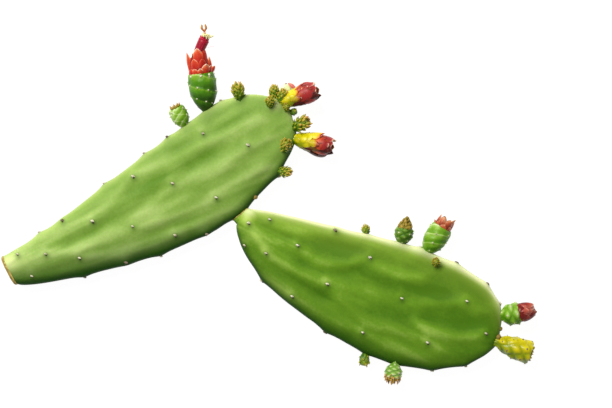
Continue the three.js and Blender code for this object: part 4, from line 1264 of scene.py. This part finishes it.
def build_topped_bud(bud, matrix, rng, wool):
    """A fruit or flower bud with what stands on its lower part."""
    kind = BUD_KINDS[bud.name]
    base = build_fruit(bud, bud.name, matrix, rng, wool, **kind["fruit"])
    core = body_of(bud, *kind["core"])
    builder = Builder()
    if "rim" in kind:
        add_rim(builder, core.low, core.high, core.radius, kind["rim"])
    else:
        add_body(builder, core, tones=kind["tones"])
    if "spikes" in kind:
        add_spikes(builder, core, bud, rng, **kind["spikes"])
    if "scales" in kind:
        add_scales(builder, core, bud, rng, **kind["scales"])
    for body, rows in ((base, "base_rings"), (core, "rings")):
        for row in kind.get(rows, ()):
            add_ring(builder, body, bud, rng, row, **kind["form"])
    for azimuth, face, tilt, reach, height, long, wide, form in kind.get("tepals", ()):
        ray, forward, outward = blade_frame(math.radians(azimuth), tilt, math.radians(face))
        root = ray * reach * core.radius + UP * height * bud.length
        add_tepal(builder, root, forward, outward, long * bud.length, wide * bud.width, **form)
    ending, look = kind["top"]
    builder.object("top_" + bud.name + ending, look, [bud.name + ending], matrix)


# The open flower. Its ovary's lattice slants. Heights are in millimetres above the flower's foot.
OVARY_LOOK = dict(
    look="fresh_green", top=0.445, lattice=(8, -1.0, 0.0, 2, 2.85, 0.265), shape=OVARY, net=(0.8, 0.15),
    tones=(-0.04, 0.4, 0.52), rise=0.08, wool_radius=0.65, dim=0.08)
OVARY_RIM = 0.95
RIM_AREOLES = (20, 70, 128, 181, 222, 265, 300)
STAMENS = {"from": 37.0, "to": 54.6, "radius": 4.1, "count": 150, "tuft": 40}
LEAN = {"width": 7.4, "from": 41.5, "to": 58.0}
STYLE = {"radius": 0.8, "from": 52.0, "to": 60.0, "steps": 8}
STIGMA_FOOT = 59.6
FLOWER_FORM = dict(cup=0.4, ruffle=0.03, edge=0.45)
# Anthers of the bundle and of the tuft at its side: places along them and radii there, in millimetres.
ANTHER = (np.array([0, 0.35, 0.9, 1.3]), np.array([0.16, 0.42, 0.4, 0.15]))
TUFT_ANTHER = (np.array([0, 0.4, 1.0, 1.5]), np.array([0.16, 0.46, 0.42, 0.14]))
# Lobes of the stigma: places out and up from its foot, and radii there, in millimetres.
LOBE_BOW = ((0.3, 0.0), (1.2, 0.8), (1.85, 1.9), (1.8, 3.0), (1.45, 4.0), (1.6, 4.8))
LOBE_RADII = (0.55, 0.64, 0.7, 0.64, 0.5, 0.18)
# Tepals: azimuth of the foot, azimuth that the back faces, radius and height of the foot, length, width,
# tilt, bend, bluntness, the tones of its foot and end, and shade.
FLOWER_TEPALS = [
    (0, 0, 5.6, 30, 14, 7, 2, 0.08, 2.4, 0.1, 0.7, 0.0),
    (55, 55, 5.6, 30, 14, 7, 3, 0.08, 2.4, 0.1, 0.7, 0.0),
    (305, 305, 5.6, 30, 14, 7, 3, 0.08, 2.4, 0.1, 0.7, 0.0),
    (115, 150, 5.8, 29, 12.5, 5.0, 2, 0.04, 2.0, 0.0, 0.15, 0.5),
    (262, 230, 5.6, 30, 14, 5.5, 2, 0.06, 2.0, 0.05, 0.4, 0.2),
    (93, 150, 7.2, 27.0, 18.4, 4.8, 4, 0.0, 1.5, 0.35, 0.85, 0.0),
    (143, 155, 6.2, 27.5, 12.5, 7.0, 4, 0.06, 2.2, 0.05, 0.7, 0.0),
    (176, 178, 5.4, 30.5, 17.2, 7.8, 0, 0.08, 2.8, 0.0, 0.9, 0.0),
    (205, 200, 6.2, 28, 11.5, 6.4, 4, 0.06, 2.2, 0.0, 0.4, 0.2),
    (240, 215, 5.4, 30.5, 17.0, 6.0, 1, 0.05, 2.2, 0.0, 0.55, 0.0),
    (272, 205, 7.2, 27.5, 12.8, 3.6, 3, 0.0, 1.4, 0.3, 0.9, 0.0),
    (277, 225, 7.4, 27.0, 6.8, 4.6, 34, 0.0, 1.5, 0.2, 0.7, 0.0),
    (122, 150, 7.4, 25.6, 6.8, 6.6, 12, 0.2, 3.0, 0.1, 0.55, 0.0),
    (152, 160, 7.2, 26.4, 6.5, 5.0, 20, 0.15, 1.8, 0.15, 0.9, 0.0),
    (183, 185, 7.2, 26.6, 6.5, 4.6, 24, 0.1, 1.6, 0.3, 1.0, 0.0),
    (213, 205, 7.0, 26.6, 9.5, 6.6, 22, 0.05, 2.0, 0.3, 1.0, 0.0),
    (246, 225, 7.2, 26.6, 7.5, 4.6, 18, 0.0, 1.6, 0.2, 0.8, 0.0),
    (60, 60, 7.2, 26.8, 8.0, 4.8, 26, 0.05, 1.6, 0.2, 0.8, 0.0),
    (20, 20, 7.2, 26.8, 8.0, 5.0, 26, 0.05, 1.6, 0.2, 0.9, 0.0),
    (330, 330, 7.2, 26.8, 8.0, 5.0, 26, 0.05, 1.6, 0.2, 0.8, 0.0),
]


def stamen_lean(height):
    """How far the flower's heart lies to its right at a height."""
    share = min(max((height - LEAN["from"]) / (LEAN["to"] - LEAN["from"]), 0), 1)
    return -LEAN["width"] * smooth_step(share)


def bundle_point(radius, azimuth, height):
    return ray_at(azimuth) * radius + (0, stamen_lean(height), height)


def style_point(height, lean):
    return np.array([0.0, lean + 0.3 * math.sin(0.5 * min(height, STYLE["to"])), height])


def add_anther(builder, foot, axis, form, tones, size=1.0):
    steps, radii = form
    add_tube(builder, foot + np.outer(steps * size, unit(axis)), radii * size, 6, tones)


def build_stamens(matrix, rng):
    """The bundle of crimson threads with cream anthers, and one loose thread at its side."""
    threads = Builder()
    anthers = Builder()
    low, high, full = STAMENS["from"], STAMENS["to"], STAMENS["radius"]
    # A solid core, darker than the threads, fills the gaps between them: painted shade inside the bundle.
    core = [bundle_point(0, 0, z) for z in np.linspace(low, high - 1.5, 9)]
    add_tube(threads, core, full * np.linspace(0.8, 1.0, 9), 20, (0.1, 0.4))
    for k in range(STAMENS["count"]):
        radius = 0.93 * full * math.sqrt((k + 0.5) / STAMENS["count"])
        azimuth = k * GOLDEN_ANGLE
        top = high + 0.5 * radius * math.sin(azimuth) + rng.uniform(-0.8, 0.7)
        sway = rng.uniform(-0.25, 0.25)
        heights = np.linspace(low, top, 9)
        line = [bundle_point(radius, azimuth + sway * i / 8, z) for i, z in enumerate(heights)]
        add_tube(threads, line, 0.3, 5, (rng.uniform(0.2, 0.5), rng.uniform(0.5, 1.0)))
        ray = ray_at(azimuth)
        for _ in range(2 if radius * math.sin(azimuth) < 1.3 else 0):
            foot = line[-1] + UP * rng.uniform(0.2, 1.9) + ray * rng.uniform(-0.4, 1.0)
            axis = UP + ray * rng.uniform(0.2, 1.6) + (rng.uniform(-0.4, 0.4), rng.uniform(-0.4, 0.4), 0)
            size = rng.uniform(0.75, 1.25)
            tones = (rng.uniform(0.2, 0.6), rng.uniform(0.6, 1.0))
            add_anther(anthers, foot, axis, ANTHER, tones, size)
    loose = [bundle_point(full, -math.pi / 2, z) for z in (44.0, 46.5)]
    loose += [loose[-1] + (-0.5, -s, 0.9 * math.sin(1.4 * s / 7)) for s in (1.6, 3.4, 5.2, 7.0)]
    add_tube(threads, loose, 0.07, 5, (0.9, 1.0))
    for _ in range(STAMENS["tuft"]):
        far = rng.uniform(0, 1)
        near = 1 - far
        foot = np.array([rng.uniform(-2, 2) * near, -7.6 - 4.4 * far, 54.8 + rng.uniform(-1.8, 1.8) * near])
        axis = np.array([rng.uniform(-0.6, 0.6), -1.0, rng.uniform(-0.5, 0.7)])
        add_anther(anthers, foot, axis, TUFT_ANTHER, (0.5, rng.uniform(0.7, 1.0)))
    threads.object("threads_flower", "crimson", ["flower_filaments"], matrix)
    anthers.object("pollen_flower", "pollen", ["flower_anthers"], matrix)


def build_style(matrix, rng):
    """The style, and its stigma with six upright lobes."""
    lean = stamen_lean(STAMENS["to"])
    style = Builder()
    steps = STYLE["steps"]
    stalk = [style_point(z, lean) for z in np.linspace(STYLE["from"], STYLE["to"], steps)]
    add_tube(style, stalk, STYLE["radius"] * np.linspace(0.8, 1.0, steps), 14, (0.2, 0.8))
    style.object("stalk_flower", "style", ["flower_style"], matrix)
    stigma = Builder()
    foot = np.array([0.0, style_point(STYLE["to"], lean)[1], STIGMA_FOOT])
    add_lump(stigma, foot, UP, 1.15, 0.9, 0.3, 0.1)
    for k in range(6):
        ray = ray_at(math.pi / 2 + math.pi * (k // 3) + 0.62 * (k % 3 - 1))
        line = [foot + ray * out * rng.uniform(0.92, 1.05) + UP * up for out, up in LOBE_BOW]
        add_tube(stigma, line, LOBE_RADII, 10, (0.25, rng.uniform(0.8, 1.0)))
    stigma.object("lobes_flower", "stigma", ["flower_stigma"], matrix)


def build_flower(bud, matrix, rng, wool):
    ovary = build_fruit(bud, "flower_ovary", matrix, rng, wool, **OVARY_LOOK)
    for azimuth in RIM_AREOLES:
        ray = ray_at(math.radians(azimuth))
        add_wool(wool, *in_object(matrix, on_body(ovary, ray, OVARY_RIM), ray + 0.5 * UP), 0.9, rng, 0.85)
    builder = Builder()
    core = body_of(bud, TUBE, 0.42, 0.6, 0.56, *SMOOTH)
    add_body(builder, core, tones=(0.0, 0, 0.1))
    for azimuth, face, radius, foot, length, width, tilt, bend, blunt, first, last, shade in FLOWER_TEPALS:
        ray, forward, outward = blade_frame(math.radians(azimuth), tilt, math.radians(face))
        add_tepal(builder, ray * radius + UP * foot, forward, outward, length, width, bend=bend, blunt=blunt,
                  tones=(first, last), shade=shade, phase=rng.uniform(0, 6), **FLOWER_FORM)
    builder.object("petals_flower", "orange", ["flower_tepals"], matrix)
    build_stamens(matrix, rng)
    build_style(matrix, rng)


def add_pad_areoles(wool, pad):
    """The areoles of a pad, some of them with a few short spines."""
    matrix = pad_matrix(pad)
    rng = np.random.default_rng(int(pad["length"]))
    for t, turn in pad["places"]:
        plain = pad_point(pad, t, turn)
        normal = pad_normal(pad, t, turn)
        rise = pad_relief(pad, plain, t, turn)[0]
        centre, normal = in_object(matrix, plain + normal * (rise - AREOLE_DEPTH), normal)
        if on_margin(turn):
            add_areole(wool, centre, normal, 1.3, rng, rng.uniform(0.2, 0.7))
        else:
            add_areole(wool, centre, normal, rng.uniform(0.9, 1.2), rng, rng.uniform(0.6, 0.85))
        side, other = across_of(normal)
        for _ in range(rng.integers(0, 3) if normal[2] > 0 else 0):
            lean = unit(normal + side * rng.uniform(-0.9, 0.9) + other * rng.uniform(-0.9, 0.9))
            lean = lean * rng.uniform(1.4, 3.0)
            add_tube(wool, [centre, centre + lean * 0.5, centre + lean], (0.16, 0.12, 0.03), 5, (0.0, 0.15))


def build_growth(pad):
    """All that grows from a pad, with one piece for the wool of its areoles."""
    wool = Builder()
    for bud in pad["buds"]:
        matrix = bud_matrix(pad, bud)
        rng = np.random.default_rng(sum(ord(letter) for letter in bud.name))
        if bud.name == "flower":
            build_flower(bud, matrix, rng, wool)
        elif bud.name in BUD_KINDS:
            build_topped_bud(bud, matrix, rng, wool)
        else:
            build_young_bud(bud, matrix, rng, *BARE_BUDS.get(bud.name, LEAFY_BUD))
    add_pad_areoles(wool, pad)
    wool.object("areoles_" + pad["name"], "wool")
    knobs = Builder()
    for place, radius in pad["knobs"]:
        t, turn = face_place(pad, place, 1)
        add_lump(knobs, skin_point(pad, t, turn), pad_normal(pad, t, turn), radius, 0.85 * radius, 0.3, 0.3)
    knobs.object("knobs_" + pad["name"], "cork", matrix=pad_matrix(pad))


def build_camera():
    data = bpy.data.cameras.new("camera")
    data.lens = LENS
    data.sensor_width = SENSOR
    data.clip_start = 0.01
    data.clip_end = 20
    camera = new_object("camera", data)
    camera.location = Vector((*VIEW_CENTRE, VIEW_HEIGHT + VIEW_WIDTH * LENS / SENSOR)) * MM
    bpy.context.scene.camera = camera


def build_light():
    """A large soft light, above the far side of the branch."""
    data = bpy.data.lights.new("key", "AREA")
    data.shape = "RECTANGLE"
    data.size, data.size_y = KEY_SIZE
    data.energy = KEY_POWER
    data.color = KEY_COLOUR
    light = new_object("key", data)
    light.location = KEY_PLACE
    aim = Vector(KEY_AIM) - Vector(KEY_PLACE)
    light.rotation_euler = aim.to_track_quat("-Z", "Y").to_euler()


def build_studio():
    world = bpy.data.worlds.new("studio")
    bpy.context.scene.world = world
    world.use_nodes = True
    background = world.node_tree.nodes["Background"]
    background.inputs["Color"].default_value = (1, 1, 1, 1)
    background.inputs["Strength"].default_value = SKY_STRENGTH
    corners = [(x * FLOOR_HALF, y * FLOOR_HALF, 0) for x, y in ((-1, -1), (1, -1), (1, 1), (-1, 1))]
    mesh = bpy.data.meshes.new("floor")
    mesh.from_pydata(corners, [], [(0, 1, 2, 3)])
    ground = Surface("floor")
    ground.feed(ground.shader, {
        "Base Color": (0.08, 0.08, 0.08, 1),
        "Roughness": 0.9,
        "Emission Color": (1, 1, 1, 1),
        "Emission Strength": FLOOR_GLOW,
    })
    mesh.materials.append(ground.material)
    floor = new_object("floor", mesh)
    bpy.context.scene.view_settings.view_transform = "Standard"


build_camera()
for pad in (LOWER, UPPER):
    pad["buds"] = [Bud(*row) for row in pad["buds"]]
    pad["places"] = areole_places(pad)
    pad["swellings"] = list_swellings(pad)
lower = build_pad(LOWER)
build_pad(UPPER, root_parts=(1.0, 0.5))
build_scar(LOWER)
build_seam(UPPER, lower)
build_growth(LOWER)
build_growth(UPPER)
build_light()
build_studio()
